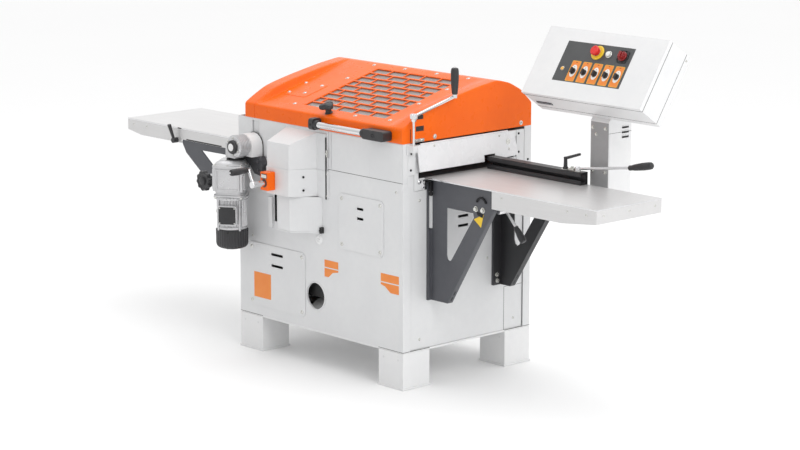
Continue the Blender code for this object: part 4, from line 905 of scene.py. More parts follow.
# ---------------------------------------------------------------- feed drive
drum_y = WALL_Y - 0.0625
ribs = []
for k in range(7):
    a = 0.0035 + k * 0.0078
    ribs += [(a, 0.0425), (a + 0.0012, 0.0468), (a + 0.0040, 0.0468), (a + 0.0052, 0.0425)]
drum = turned((SHAFT_X, drum_y, SHAFT_Z + 0.002), FRONT, [(0, 0.0440)] + ribs + [(0.0590, 0.0400),
                                                                                 (0.0605, 0.0330)], 48)
drum += box(DRIVE_X - 0.005, SHAFT_X, WALL_Y - 0.1160, WALL_Y - 0.0663, 0.8370, 0.8920)
for k in range(5):
    y = WALL_Y - 0.112 + k * 0.0100
    drum += box(DRIVE_X - 0.0080, SHAFT_X - 0.012, y - 0.0018, y + 0.0018, 0.8365, 0.8980)
for k in range(6):
    a = math.radians(60 * k + 30)
    at = (SHAFT_X + 0.0355 * math.cos(a), drum_y - 0.0580, SHAFT_Z + 0.002 + 0.0355 * math.sin(a))
    drum += turned(at, FRONT, [(-0.010, 0.0062), (0.0020, 0.0062)], 14)
make("worm_gearbox_casting", drum, "cast_aluminium", "head", 0.0010, 38.0,
     replaces=["worm_gearbox"])
shells = []
for k in range(6):
    a = math.radians(60 * k + 30)
    at = (SHAFT_X + 0.0355 * math.cos(a), drum_y - 0.0600, SHAFT_Z + 0.002 + 0.0355 * math.sin(a))
    shells += cap_screw(at, FRONT, 0.0040, 0.0038)
make("gearbox_screws", shells, "zinc", "head", 0.0002)
cover = turned((SHAFT_X, drum_y - 0.0580, SHAFT_Z), FRONT, [(0, 0.0290), (0.0090, 0.0290), (0.0130, 0.0265),
                                                            (0.0145, 0.0210), (0.0145, 0.0150)], 40)
make("gearbox_cover_ring", cover, "black_plastic", "head", 0.0006)
cap = turned((SHAFT_X, drum_y - 0.0700, SHAFT_Z), FRONT, [(0, 0.0158), (0.0040, 0.0158), (0.0050, 0.0140),
                                                          (0.0052, 0.0060), (0.0072, 0.0050),
                                                          (0.0076, 0.0022)], 36)
make("gearbox_shaft_cap", cap, "light_paint", "head", 0.0004)
neck_at = (DRIVE_X + 0.017, DRIVE_Y + 0.012, 0.8285)
shells = turned(neck_at, UP, [(0, 0.0400), (0.0045, 0.0400), (0.0050, 0.0340), (0.0100, 0.0320)], 40)
make("gearbox_neck_flange", shells, "black_oxide", "head", 0.0008)
arch_ring = [(SHAFT_X - 0.0062 + 0.0562 * math.cos(math.pi * k / 14),
              0.886 + 0.0512 * math.sin(math.pi * k / 14)) for k in range(15)]
arch_ring = [(arch_ring[0][0], 0.8425)] + arch_ring + [(arch_ring[-1][0], 0.8425)]
make("gearbox_wall_gasket", prism(arch_ring, "y", WALL_Y - 0.0050, WALL_Y - 0.0010), "black_rubber", "head",
     0.0006)
# Dark carrier bracket under the arch: partly a real bracket, partly painted shade under the arch
bracket = prism([(-0.452, 0.842), (-0.335, 0.842), (-0.318, 0.812), (-0.330, 0.762), (-0.372, 0.768),
                 (-0.400, 0.800), (-0.448, 0.806)], "y", WALL_Y - 0.030, WALL_Y - 0.0012)
bracket += prism([(-0.372, 0.806), (-0.285, 0.800), (-0.282, 0.770), (-0.360, 0.764)], "y", WALL_Y - 0.0120,
                 WALL_Y - 0.0012)
bracket += many(hex_bolt, [(-0.345, WALL_Y - 0.030, 0.822), (-0.345, WALL_Y - 0.030, 0.785)], FRONT, 0.011,
                0.005)
make("gearbox_carrier_and_shade", bracket, "cast_iron", "head", 0.0014)


def squarish(power):
    def factor(a):
        return (abs(math.cos(a)) ** power + abs(math.sin(a)) ** power) ** (-1.0 / power)
    return factor


AXIS = (DRIVE_X, DRIVE_Y)
profile = [(0.0, 0.0600), (0.0, 0.0660), (0.0085, 0.0660), (0.0090, 0.0590), (0.0180, 0.0590),
           (0.0300, 0.0655), (0.0330, 0.0665), (0.1180, 0.0665), (0.1230, 0.0655), (0.1235, 0.0700),
           (0.1330, 0.0700), (0.1338, 0.0640), (0.1430, 0.0580), (0.1500, 0.0480), (0.1540, 0.0420)]
turn36 = math.radians(36)
body_v = turned((0, 0, 0.673), UP, profile, 64, radius=squarish(6))
spin = Matrix.Translation((*AXIS, 0)) @ Matrix.Rotation(turn36, 4, "Z")
body_v = moved(body_v, spin)
for side in range(4):
    m = spin @ Matrix.Rotation(math.radians(90 * side), 4, "Z")
    for x in (-0.048, 0.048):
        body_v += moved(box(x - 0.0032, x + 0.0032, -0.0695, -0.060, 0.7050, 0.7910), m)
    body_v += moved(box(-0.048, 0.048, -0.0688, -0.060, 0.7865, 0.7920), m)
    body_v += moved(box(-0.048, 0.048, -0.0688, -0.060, 0.7045, 0.7095), m)
    body_v += moved(turned((0.0565, -0.0565, 0.6990), UP, [(0, 0.0090), (0.1000, 0.0090), (0.1050, 0.0070)],
                           16), m)
body_v += box(DRIVE_X - 0.112, DRIVE_X - 0.050, DRIVE_Y - 0.022, DRIVE_Y + 0.022, 0.700, 0.744)
body_v += turned((DRIVE_X - 0.108, DRIVE_Y, 0.722), LEFT, [(0, 0.0240), (0.028, 0.0240), (0.034, 0.0215),
                                                           (0.037, 0.0180)], 28)
make("variator_casting", body_v, "silver_paint", "head", 0.0013, 38.0,
     replaces=["variator_body"])
shells = []
for side in range(4):
    m = spin @ Matrix.Rotation(math.radians(90 * side), 4, "Z")
    shells += moved(cap_screw((0.0555, -0.0555, 0.8060), UP, 0.0052, 0.0060), m)
    shells += moved(hex_bolt((0.0555, -0.0555, 0.6740), DOWN, 0.0100, 0.0060), m)
    shells += moved(cap_screw((0.0, -0.0625, 0.8062), UP, 0.0042, 0.0045), m)
shells += many(cap_screw, [(DRIVE_X - 0.128, DRIVE_Y - 0.0225, 0.722 + d) for d in (-0.014, 0.014)], FRONT,
               0.0034, 0.003)
make("variator_screws", shells, "zinc", "head", 0.0003)

# Motor: ribbed frame, flange, nameplate box, black fan cowl, gland
def fins(count, depth):
    return lambda a: 1.0 + depth * (0.5 + 0.5 * math.cos(count * a)) ** 4


shells = turned((*AXIS, 0.540), UP, [(0, 0.0560), (0.0020, 0.0590), (0.1230, 0.0590), (0.1260, 0.0600),
                                     (0.1262, 0.0690), (0.1326, 0.0690)], 192, radius=fins(32, 0.085))
shells += turned((*AXIS, 0.6595), UP, [(0, 0.0660), (0.0012, 0.0712), (0.0110, 0.0712), (0.0122, 0.0700)], 56)
shells += turned((*AXIS, 0.5345), UP, [(0, 0.0635), (0.0100, 0.0635), (0.0110, 0.0600)], 56)
for side in range(4):
    m = spin @ Matrix.Rotation(math.radians(90 * side + 45), 4, "Z")
    shells += moved(turned((0.0, -0.0640, 0.5300), UP, [(0, 0.0052), (0.1300, 0.0052)], 14), m)
plate_box = prism(corner_rounded(-0.041, 0.041, 0.5580, 0.6400, 0.008, 4), "y", -0.0790, -0.0400)
shells += moved(plate_box, spin)
make("feed_motor_frame", shells, "silver_paint", "head", 0.0006, 40.0, 1,
     replaces=["feed_motor"])
plate = prism(corner_rounded(-0.0365, 0.0365, 0.5625, 0.6355, 0.006, 4), "y", -0.0806, -0.0788)
make("motor_nameplate", moved(plate, spin), "black_plastic", "head", 0.0005)
shells = many(button_screw, [(x, -0.0806, z) for x in (-0.0315, 0.0315) for z in (0.5675, 0.6305)], FRONT,
              0.0031, 0.0018)
make("motor_nameplate_screws", moved(shells, spin), "zinc", "head", 0.0002)
cowl = [(0.0, 0.0390), (0.0018, 0.0490), (0.0060, 0.0585), (0.0130, 0.0640), (0.0220, 0.0662),
        (0.0790, 0.0668), (0.0820, 0.0660), (0.0830, 0.0630)]
shells = turned((*AXIS, 0.4500), UP, cowl, 144, radius=fins(36, 0.022))
shells += turned((*AXIS, 0.4497), DOWN, [(0, 0.0410), (0.0008, 0.0400)], 40)
make("motor_fan_cowl", shells, "black_plastic", "head", 0.0, 40.0)
shells = []
for r in (0.010, 0.018, 0.026, 0.034):
    shells += washer((*AXIS, 0.4492), DOWN, r - 0.0016, r + 0.0016, 0.0014, 40)
for k in range(4):
    a = math.radians(90 * k + 20)
    shells += rod((AXIS[0] + 0.008 * math.cos(a), AXIS[1] + 0.008 * math.sin(a), 0.4484),
                  (AXIS[0] + 0.038 * math.cos(a), AXIS[1] + 0.038 * math.sin(a), 0.4484), 0.0015, 10)
for k in range(4):
    m = spin @ Matrix.Rotation(math.radians(90 * k), 4, "Z")
    shells += moved(cap_screw((0.0, -0.0672, 0.5240), FRONT, 0.0036, 0.0022), m)
make("motor_fan_grille", shells, "black_oxide", "head", 0.0003)
gland_dir = Vector((-0.95, -0.25, 0)).normalized()
gland_at = Vector((*AXIS, 0.598)) + gland_dir * 0.060
shells = turned(gland_at, gland_dir, [(0, 0.0120), (0.0070, 0.0120), (0.0075, 0.0105), (0.0160, 0.0100),
                                      (0.0180, 0.0080), (0.0190, 0.0050)], 6)
make("motor_gland", shells, "ivory_plastic", "head", 0.0008)

# Speed knob: ten lobes, dished face, domed centre
kx, kz = DRIVE_X - 0.129, 0.722
KNOB_Y = DRIVE_Y - 0.024


def ten_lobes(a):
    return 1.0 + 0.065 * math.cos(10 * a)


knob_profile = [(0.0085, 0.0300), (0.0090, 0.0395), (0.0115, 0.0415), (0.0250, 0.0415), (0.0285, 0.0390),
                (0.0295, 0.0340), (0.0275, 0.0300), (0.0270, 0.0200)]
shells = turned((kx, KNOB_Y, kz), FRONT, knob_profile, 120, radius=ten_lobes)
shells += turned((kx, KNOB_Y - 0.0003, kz), FRONT, [(0, 0.0190), (0.0110, 0.0190)], 28)
shells += turned((kx, KNOB_Y - 0.0268, kz), FRONT, [(0, 0.0180), (0.0050, 0.0170), (0.0072, 0.0130),
                                                    (0.0080, 0.0060)], 32)
make("speed_knob_wheel", shells, "black_plastic", "speed_knob", 0.0006, 40.0,
     replaces=["speed_knob"])

# Side adjustment: window and drums of the counter, and a ring round the crank hub
cn_y = NOSE_Y - 0.043
shells = prism(corner_rounded(SIDE_X - 0.0165, SIDE_X + 0.0165, SIDE_Z + 0.0185, SIDE_Z + 0.0385, 0.0030),
               "y", cn_y - 0.0012, cn_y + 0.0008)
shells += washer((SIDE_X, cn_y + 0.0004, SIDE_Z), FRONT, 0.0085, 0.0175, 0.0012, 32)
make("counter_window", shells, "black_plastic", "machine", 0.0004)
shells = []
for k in range(4):
    u = SIDE_X - 0.0120 + k * 0.0080
    shells += prism(corner_rounded(u - 0.0033, u + 0.0033, SIDE_Z + 0.0215, SIDE_Z + 0.0355, 0.001), "y",
                    cn_y - 0.0015, cn_y - 0.0010)
make("counter_drums", shells, "ivory_plastic", "machine", 0.0)


# -------------------------------------------------------- infeed end: flanges, guard, column, clamp fittings
END_X = 0.5103
END_WALL_X = 0.504
WALL_FLANGE_X = 0.5163
LIP_BAND = (0.8445, 0.8495)
strip = box(END_X - 0.0002, END_X + 0.0013, -0.3330, -0.2940, 0.868, 0.949)
strip += box(END_X - 0.0002, END_X + 0.0013, -0.3030, -0.2940, 0.948, 0.992)
strip += box(END_WALL_X, END_X + 0.0013, -0.2952, -0.2940, 0.868, 0.992)
strip += box(END_X - 0.0002, END_X + 0.0013, -0.3330, -0.3180, 0.820, 0.866)
make("infeed_flange_left", strip, "white_paint", "machine", 0.0006)
column = box(END_WALL_X, 0.5095, 0.2730, 0.3165, 0.805, 0.985)
column += box(END_WALL_X, 0.5078, 0.2180, 0.2740, 0.8050, 0.8740)
column += box(END_WALL_X, 0.5090, -0.2960, -0.2400, 0.802, 0.8500)
column += box(END_WALL_X, 0.5090, -0.2960, -0.2740, 0.8500, 0.8740)
column += box(END_WALL_X, 0.5070, -0.2960, -0.2700, 0.8740, 0.9600)
column += box(END_WALL_X, 0.5085, -0.2940, 0.2730, 0.9600, 0.9840)
make("infeed_mouth_trim", column, "white_paint", "machine", 0.0010)
screws = many(button_screw, [(0.5143, -0.3180, 0.9555), (END_X + 0.0013, -0.3180, 0.8890),
                             (0.5095, 0.285, 0.969), (0.5095, 0.286, 0.893), (BODY_X, 0.339, 0.856)],
              RIGHT, 0.0050, 0.0026)
make("infeed_flange_screws", screws, "black_oxide", "machine", 0.0003)

GX = BODY_X + 0.003


def guard_x(z):
    return GX + 0.0015 + (0.988 - z) * 0.0959


outline = [(-0.2900, 0.9860), (-0.2850, 0.8790), (0.0735, 0.8790), (0.0735, 0.9055), (0.1340, 0.9055),
           (0.1340, 0.8790), (0.2660, 0.8860), (0.2500, 0.9860)]
n = len(outline)
v = [(guard_x(z), y, z) for y, z in outline] + [(guard_x(z) + 0.0030, y, z) for y, z in outline]
f = [tuple(range(n)), tuple(range(2 * n - 1, n - 1, -1))]
f += [(i, (i + 1) % n, n + (i + 1) % n, n + i) for i in range(n)]
guard = [(v, f)]
fold = [(-0.2900, 0.9860), (-0.2850, 0.8790), (-0.2820, 0.8790), (-0.2750, 0.9860)]
v = [(guard_x(z) + 0.0028, y, z) for y, z in fold] + [(guard_x(z) + 0.0058, y, z) for y, z in fold]
guard += [(v, SLAB_FACES)]
guard += rod((GX + 0.003, -0.272, 0.988), (GX + 0.003, 0.214, 0.988), 0.0035, 16)
make("infeed_guard_sheet", guard, "guard_paint", "infeed_guard", 0.0007,
     replaces=["infeed_guard"])


def on_guard(y, z, lift=0.0):
    return (guard_x(z) + 0.0030 + lift, y, z)


shells = many(button_screw, [on_guard(y, z) for y, z in ((-0.198, 0.975), (0.164, 0.974), (0.214, 0.916))],
              RIGHT, 0.0050, 0.0026)
shells += turned(on_guard(0.212, 0.945, -0.0005), RIGHT, [(0, 0.0125), (0.0018, 0.0125), (0.0026, 0.0105),
                                                         (0.0026, 0.0075), (0.0016, 0.0070)], 28)
shells += box(guard_x(0.945) + 0.0030, guard_x(0.945) + 0.0058, 0.2055, 0.2185, 0.9435, 0.9465)
make("guard_lock", shells, "zinc", "infeed_guard", 0.0003)

# Table clamp beside the mouth: bright bar along the table edge, bracket nuts and a black catch
bar = rod((0.4900, -0.2440, 0.8475), (0.5500, -0.2340, 0.8475), 0.0026, 12)
bar += rod((0.5110, -0.2560, 0.8440), (0.5110, -0.2560, 0.8100), 0.0040, 14)
bar += many(hex_bolt, [(0.5105, -0.2720, 0.8370), (0.5105, -0.2480, 0.8190)], RIGHT, 0.0115, 0.006)
bar += box(END_WALL_X, 0.5130, -0.2620, -0.2380, 0.8370, 0.8440)
make("table_clamp_bar", bar, "bright_steel", "machine", 0.0005)
catch = box(0.5180, 0.5300, -0.2270, -0.2150, 0.7950, 0.8360)
catch += turned((0.5240, -0.2210, 0.7960), DOWN, [(0, 0.0050), (0.010, 0.0085), (0.016, 0.0085),
                                                  (0.019, 0.0060)], 16)
make("table_clamp_catch", catch, "black_oxide", "machine", 0.0010)

# End wall: seams, plugs and the pads that pack the brackets out
seam = box(0.5036, 0.5043, 0.2110, 0.2128, 0.156, 0.3380)
seam += box(0.5036, 0.5043, 0.2110, 0.3170, 0.3372, 0.3384)
make("end_wall_seam", seam, "black_rubber", "machine", 0.0)
shells = many(button_screw, [(END_WALL_X, -0.264, 0.195), (END_WALL_X, 0.266, 0.199),
                             (END_WALL_X, 0.115, 0.473), (END_WALL_X, -0.264, 0.760),
                             (END_WALL_X, 0.300, 0.760)], RIGHT, 0.0058, 0.003)
shells += many(button_screw, [(-END_WALL_X, y, z) for y in (-0.270, 0.270) for z in (0.195, 0.480, 0.760)],
               LEFT, 0.0058, 0.003)
make("end_wall_screws", shells, "zinc", "machine", 0.0003)
FB_Y, RB_Y = -0.210, 0.180
pads = box(0.5035, 0.5104, FB_Y - 0.016, FB_Y + 0.040, 0.3515, 0.830)
pads += box(0.5035, 0.5104, RB_Y - 0.040, RB_Y + 0.006, 0.3556, 0.7937)
pads += box(0.5035, 0.5104, PED_Y0 + 0.020, PED_Y1 - 0.020, 0.735, 0.790)
make("bracket_pads", pads, "grey_paint", "machine", 0.0004)
white = box(0.5104, 0.5235, FB_Y - 0.0080, FB_Y - 0.0005, 0.6450, 0.8120)
make("bracket_edge_strip", white, "white_paint", "machine", 0.0008)

# Bracket fasteners, flange slots, hanger and a plain yellow field
FB_LOW, FB_HIGH = Vector((0.610, 0, 0.3515)), Vector((0.861, 0, 0.762))
RB_LOW, RB_HIGH = Vector((0.5715, 0, 0.3556)), Vector((0.8137, 0, 0.730))


def on_flange(low, high, along, y, lift=0.0):
    d = (high - low).normalized()
    return low + d * along + Vector((d.z, 0, -d.x)) * lift + Vector((0, y, 0))


def flange_slot(low, high, along, y, length, width):
    corners = [(along - length / 2, y - width / 2), (along + length / 2, y - width / 2),
               (along + length / 2, y + width / 2), (along - length / 2, y + width / 2)]
    v = [tuple(on_flange(low, high, a, b, lift)) for lift in (-0.001, 0.0003) for a, b in corners]
    return [(v, SLAB_FACES)]


# Black slabs over the flange slots: painted shade inside the openings
shells = flange_slot(FB_LOW, FB_HIGH, 0.022, FB_Y + 0.0130, 0.019, 0.007)
shells += flange_slot(FB_LOW, FB_HIGH, 0.052, FB_Y + 0.0130, 0.019, 0.007)
shells += flange_slot(RB_LOW, RB_HIGH, 0.022, RB_Y + 0.0130, 0.019, 0.007)
shells += flange_slot(RB_LOW, RB_HIGH, 0.052, RB_Y + 0.0130, 0.019, 0.007)
make("bracket_slot_shade", shells, "black_rubber", "machine", 0.0)
shells = many(hex_bolt, [(0.768, FB_Y, 0.757), (0.8065, FB_Y, 0.7565)], FRONT, 0.0150, 0.0075)
shells += many(hex_bolt, [(WALL_FLANGE_X, RB_Y - 0.020, 0.399), (WALL_FLANGE_X, RB_Y - 0.018, 0.374),
                          (WALL_FLANGE_X, RB_Y - 0.020, 0.700), (WALL_FLANGE_X, FB_Y + 0.022, 0.395),
                          (WALL_FLANGE_X, FB_Y + 0.022, 0.790)], RIGHT, 0.0135, 0.007)
shells += many(hex_bolt, [(-WALL_FLANGE_X, -0.168, 0.440), (-WALL_FLANGE_X, -0.168, 0.780),
                          (-WALL_FLANGE_X, 0.200, 0.440), (-WALL_FLANGE_X, 0.200, 0.780)], LEFT, 0.0135,
               0.007)
make("bracket_bolts", shells, "zinc", "machine", 0.0004)
hanger = [(0.800 + r * math.cos(math.radians(a)), 0.779 + r * math.sin(math.radians(a)))
          for r, step in ((0.0300, 1), (0.0225, -1)) for a in range(165, 14, -15)[::step]]
shells = prism(hanger, "y", FB_Y - 0.0060, FB_Y + 0.0002)
shells += prism([(0.772, 0.748), (0.810, 0.742), (0.806, 0.727), (0.778, 0.734)], "y", FB_Y - 0.0030,
                FB_Y + 0.0002)
make("bracket_hanger", shells, "black_oxide", "machine", 0.0010)
make("bracket_yellow_field", prism([(0.757, 0.715), (0.811, 0.741), (0.797, 0.687)], "y", FB_Y - 0.0007,
                                   FB_Y + 0.0002),
     "yellow_plastic", "machine", 0.0)

# ------------------------------------------------ tables: edge screws, ground lip, shadow lines, fence
shells = many(button_screw, [(1.2778, FEED_Y0, 0.824), (1.3743, FEED_Y0, 0.824), (0.930, FEED_Y0, 0.824)],
              FRONT, 0.0050, 0.0022)
shells += many(button_screw, [(IN_END, y, 0.8245) for y in (-0.1942, -0.0514, 0.0914)], RIGHT, 0.0050, 0.0022)
shells += many(button_screw, [(x, OUT_Y0, 0.8255) for x in (-1.4675, -1.3707, -0.650)], FRONT, 0.0050, 0.0022)
shells += many(button_screw, [(x, FEED_Y1, 0.824) for x in (0.700, 1.000, 1.300)], BACK, 0.0050, 0.0022)
shells += many(button_screw, [(x, OUT_Y1, 0.824) for x in (-0.700, -1.000, -1.300)], BACK, 0.0050, 0.0022)
shells += many(button_screw, [(OUT_END, y, 0.824) for y in (-0.150, 0.018, 0.186)], LEFT, 0.0050, 0.0022)
make("table_edge_screws", shells, "zinc", "machine", 0.0003)
lip = box(0.5130, IN_END, FEED_Y0 - 0.0008, FEED_Y0 + 0.0002, *LIP_BAND)
lip += box(IN_END - 0.0002, IN_END + 0.0008, FEED_Y0, FEED_Y1, *LIP_BAND)
lip += box(OUT_END, -0.5130, OUT_Y0 - 0.0008, OUT_Y0 + 0.0002, *LIP_BAND)
make("table_ground_lip", lip, "bright_steel", "machine", 0.0003)
slot_piece = box(-1.081, -0.833, OUT_Y0 - 0.0006, OUT_Y0 + 0.0010, 0.7990, 0.8040)
slot_piece += box(0.8752, 0.8762, FEED_Y0 - 0.0006, FEED_Y0 + 0.0040, 0.777, 0.8435)
make("table_shadow_lines", slot_piece, "black_rubber", "machine", 0.0)

# Fence: open end channel, clamp plate, chrome washers; black grips on the bright levers
FENCE_Y0, FENCE_Y1 = 0.086, 0.128
shells = box(1.0420, 1.0436, FENCE_Y0, FENCE_Y1, 0.8503, 0.8570) + box(1.0420, 1.0436, FENCE_Y0, FENCE_Y1,
                                                                       0.8940, 0.9000)
shells += box(1.0420, 1.0436, FENCE_Y1 - 0.0110, FENCE_Y1, 0.8560, 0.8950)
shells += box(0.8700, 1.0300, FENCE_Y0 + 0.0030, FENCE_Y1 - 0.0030, 0.8998, 0.9002)
make("fence_end_ring", shells, "black_oxide", "machine", 0.0005)
shells = washer((0.944, 0.107, 0.9000), UP, 0.0112, 0.0165, 0.0022)
shells += box(0.9660, 0.9960, 0.0960, 0.1180, 0.9000, 0.9090)
shells += hex_bolt((0.9810, 0.107, 0.9090), UP, 0.0120, 0.0060)
shells += washer((1.010, 0.107, 0.9000), UP, 0.0122, 0.0170, 0.0020)
make("fence_clamp_plates", shells, "zinc", "machine", 0.0005)
RP = Vector((1.010, 0.107, 0.9003))
lever = turned(RP, UP, [(0, 0.0118), (0.0150, 0.0118), (0.0180, 0.0090)], 24)
lever += tube(rounded([RP + Vector((-0.004, 0, 0.0115)), RP + Vector((0.02, 0, 0.0125)),
                       (1.296, 0.100, 0.9515)], 0.01), 0.0055, 16)
make("fence_lever_rod", lever, "bright_steel", "fence_rod_lever", 0.0006,
     replaces=["fence_rod_lever"])


def handle(p0, p1, r, n=24):
    """Moulded grip: collar, waisted barrel, domed end."""
    p0, p1 = Vector(p0), Vector(p1)
    length = (p1 - p0).length
    shape = [(0, 0.50), (0.005, 0.66), (0.05, 0.70), (0.055, 0.62), (0.10, 0.66), (0.25, 0.84), (0.60, 1.0),
             (0.86, 0.99), (0.95, 0.90), (0.985, 0.70), (1.0, 0.38)]
    return turned(p0, p1 - p0, [(h * length, k * r) for h, k in shape], n)


make("fence_lever_grip", handle((1.286, 0.1003, 0.9497), (1.404, 0.098, 0.9748), 0.0150), "black_plastic",
     "fence_rod_lever", 0.0)
hub = turned((0.862, -0.1815, 0.755), BACK, [(0, 0.0105), (0.054, 0.0105), (0.056, 0.0095)], 24)
hub += tube(rounded([(0.858, -0.140, 0.7590), (0.866, -0.140, 0.7520), (0.925, -0.140, 0.6910)], 0.006),
            0.0055, 16)
make("table_lever_rod", hub, "bright_steel", "table_lever", 0.0006, replaces=["table_lever"])
make("table_lever_grip", handle((0.9175, -0.140, 0.6990), (0.9620, -0.140, 0.6440), 0.0140), "black_plastic",
     "table_lever", 0.0)


# -------------------------------------------------------- control box: film, labels, rings, lamp, seal
def film(u0, u1, v0, v1, r, depth, back=0.0001):
    return moved(prism(corner_rounded(u0, u1, v0, v1, r, 5), "y", -depth, back), DOOR)


def ring_outline(u, v, ru, rv, n=40):
    return [(u + ru * math.cos(2 * math.pi * k / n),
             v + rv * math.sin(2 * math.pi * k / n)) for k in range(n)]


def with_hole(outline, hole, y_front, y_back):
    """Flat plate on the door between two outlines of equal length."""
    n = len(outline)
    v = [(u, y, w) for y in (y_front, y_back) for line in (outline, hole) for u, w in line]
    f = []
    for i in range(n):
        j = (i + 1) % n
        f += [(i, j, n + j, n + i), (2 * n + i, 3 * n + i, 3 * n + j, 2 * n + j),
              (i, 2 * n + i, 2 * n + j, j), (n + i, n + j, 3 * n + j, 3 * n + i)]
    return moved([(v, f)], DOOR)


SWITCHES = [-0.095, -0.038, 0.019, 0.076, 0.133]
SW_V = -0.032
make("panel_film", film(-0.184, 0.168, -0.079, 0.095, 0.0015, 0.00014), "label_grey", "control_door", 0.0)
edges = []
for (a0, a1, b0, b1) in ((-0.184, 0.168, 0.0940, 0.0950), (-0.184, 0.168, -0.0790, -0.0780),
                         (-0.184, -0.183, -0.0790, 0.0950), (0.167, 0.168, -0.0790, 0.0950)):
    edges += moved(box(a0, a1, -0.00018, 0.0, b0, b1), DOOR)
make("panel_film_border", edges, "black_plastic", "control_door", 0.0)
labels = []
for u in SWITCHES:
    labels += film(u - 0.0225, u + 0.0225, -0.0750, 0.0140, 0.004, 0.00020)
make("switch_labels", labels, "label_orange", "control_door", 0.0)
rims = []
for u in SWITCHES:
    outer = corner_rounded(u - 0.0225, u + 0.0225, -0.0750, 0.0140, 0.004, 5)
    hole = corner_rounded(u - 0.0213, u + 0.0213, -0.0738, 0.0128, 0.0032, 5)
    rims += with_hole(outer, hole, -0.00024, -0.00018)
make("switch_label_rims", rims, "yellow_plastic", "control_door", 0.0)
ovals = []
for u in SWITCHES:
    ovals += with_hole(ring_outline(u, SW_V + 0.002, 0.0155, 0.0265), ring_outline(u, SW_V, 0.0128, 0.0128),
                       -0.0012, -0.00010)
make("switch_escutcheons", ovals, "ivory_plastic", "control_door", 0.0004)
ticks = []
for u in SWITCHES:
    ticks += moved(box(u - 0.0007, u + 0.0007, -0.00135, -0.0011, SW_V + 0.0170, SW_V + 0.0225), DOOR)
    ticks += moved(box(u - 0.0040, u + 0.0040, -0.00030, -0.00018, 0.0065, 0.0085), DOOR)
make("switch_ticks", ticks, "black_plastic", "control_door", 0.0)

estop_ring = moved(turned((-0.011, -0.0001, 0.058), FRONT, [(0, 0.0125), (0, 0.0300), (0.0032, 0.0300),
                                                            (0.0058, 0.0270), (0.0058, 0.0125)], 48,
                          closed=True), DOOR)
make("estop_ring", estop_ring, "yellow_plastic", "control_door", 0.0004)
bezel = moved(turned((0.049, -0.0001, 0.056), FRONT, [(0, 0.0106), (0, 0.0150), (0.0040, 0.0150),
                                                      (0.0056, 0.0136), (0.0056, 0.0106)], 40, closed=True),
              DOOR)
bezel += moved(turned((-0.011, -0.0055, 0.058), FRONT, [(0, 0.0124), (0, 0.0160), (0.0008, 0.0160),
                                                        (0.0008, 0.0124)], 32, closed=True), DOOR)
make("button_bezels", bezel, "zinc", "control_door", 0.0003)
cap = moved(turned((0.049, -0.0112, 0.056), FRONT, [(0, 0.0088), (0.0014, 0.0086), (0.0022, 0.0070),
                                                    (0.0026, 0.0035)], 28), DOOR)
make("start_button_cap", cap, "ivory_plastic", "start_button", 0.0)
plate = with_hole(corner_rounded(0.098, 0.146, 0.031, 0.079, 0.003, 9),
                  ring_outline(0.122, 0.055, 0.0270, 0.0270, 40), -0.0040, -0.0001)
make("main_switch_plate", plate, "black_plastic", "control_door", 0.0004)
knob = moved(turned((0.122, -0.0044, 0.055), FRONT, [(0, 0.0205), (0.0040, 0.0205), (0.0056, 0.0190),
                                                     (0.0056, 0.0140), (0.0120, 0.0132), (0.0180, 0.0120),
                                                     (0.0190, 0.0105)], 36), DOOR)
make("main_switch_knob", knob, "dark_red_plastic", "main_switch", 0.0004, replaces=["main_switch"])
bar = moved(box(0.1170, 0.1270, -0.0290, -0.0228, 0.0425, 0.0675), DOOR)
make("main_switch_handle", bar, "dark_red_plastic", "main_switch", 0.0018)
lamp_base = moved(turned((-0.154, -0.0001, -0.026), FRONT, [(0, 0.0072), (0, 0.0092), (0.0020, 0.0092),
                                                            (0.0026, 0.0076)], 28, closed=True), DOOR)
make("lamp_bezel", lamp_base, "zinc", "control_door", 0.0002)
lens = moved(turned((-0.154, 0.0, -0.026), FRONT, [(0, 0.0070), (0.0030, 0.0070), (0.0048, 0.0056),
                                                   (0.0056, 0.0030)], 24), DOOR)
make("signal_lamp", lens, "amber_lens", "control_door", 0.0)
shells = []
HINGE_V = (-0.098, 0.098)
for v in HINGE_V:
    shells += moved(box(-0.3160, -0.3110, 0.0040, 0.0150, v - 0.020, v + 0.020), DOOR)
    shells += moved(rod((-0.3145, 0.018, v - 0.019), (-0.3145, 0.018, v + 0.019), 0.0034, 14), DOOR)
make("door_hinge_leaves", shells, "zinc", "control_door", 0.0006)
shells = []
for v in HINGE_V:
    shells += moved(box(-0.3160, -0.3110, 0.0285, 0.0400, v - 0.020, v + 0.020), DOOR)
make("box_hinge_leaves", shells, "zinc", "machine", 0.0006)
E_U, E_V = BOX_W / 2, BOX_H / 2
seal = []
for a0, a1, b0, b1 in ((-E_U - 0.0003, E_U + 0.0003, E_V - 0.003, E_V + 0.0003),
                       (-E_U - 0.0003, E_U + 0.0003, -E_V - 0.0003, -E_V + 0.003),
                       (-E_U - 0.0003, -E_U + 0.003, -E_V, E_V), (E_U - 0.003, E_U + 0.0003, -E_V, E_V)):
    seal += moved(box(a0, a1, 0.0181, 0.0202, b0, b1), DOOR)
make("door_seal", seal, "black_rubber", "machine", 0.0)
fold = []
for a0, a1, b0, b1 in ((-E_U - 0.0004, E_U + 0.0004, E_V - 0.001, E_V + 0.0004),
                       (-E_U - 0.0004, E_U + 0.0004, -E_V - 0.0004, -E_V + 0.001),
                       (E_U - 0.001, E_U + 0.0004, -E_V, E_V)):
    fold += moved(box(a0, a1, 0.1160, 0.1176, b0, b1), DOOR)
make("box_back_seam", fold, "black_rubber", "machine", 0.0)
lock = moved(turned((E_U, 0.128, 0.128), RIGHT, [(-0.001, 0.0048), (0.0012, 0.0048), (0.0020, 0.0040),
                                                 (0.0020, 0.0018), (0.0008, 0.0016)], 24), DOOR)
make("box_lock", lock, "zinc", "machine", 0.0002)
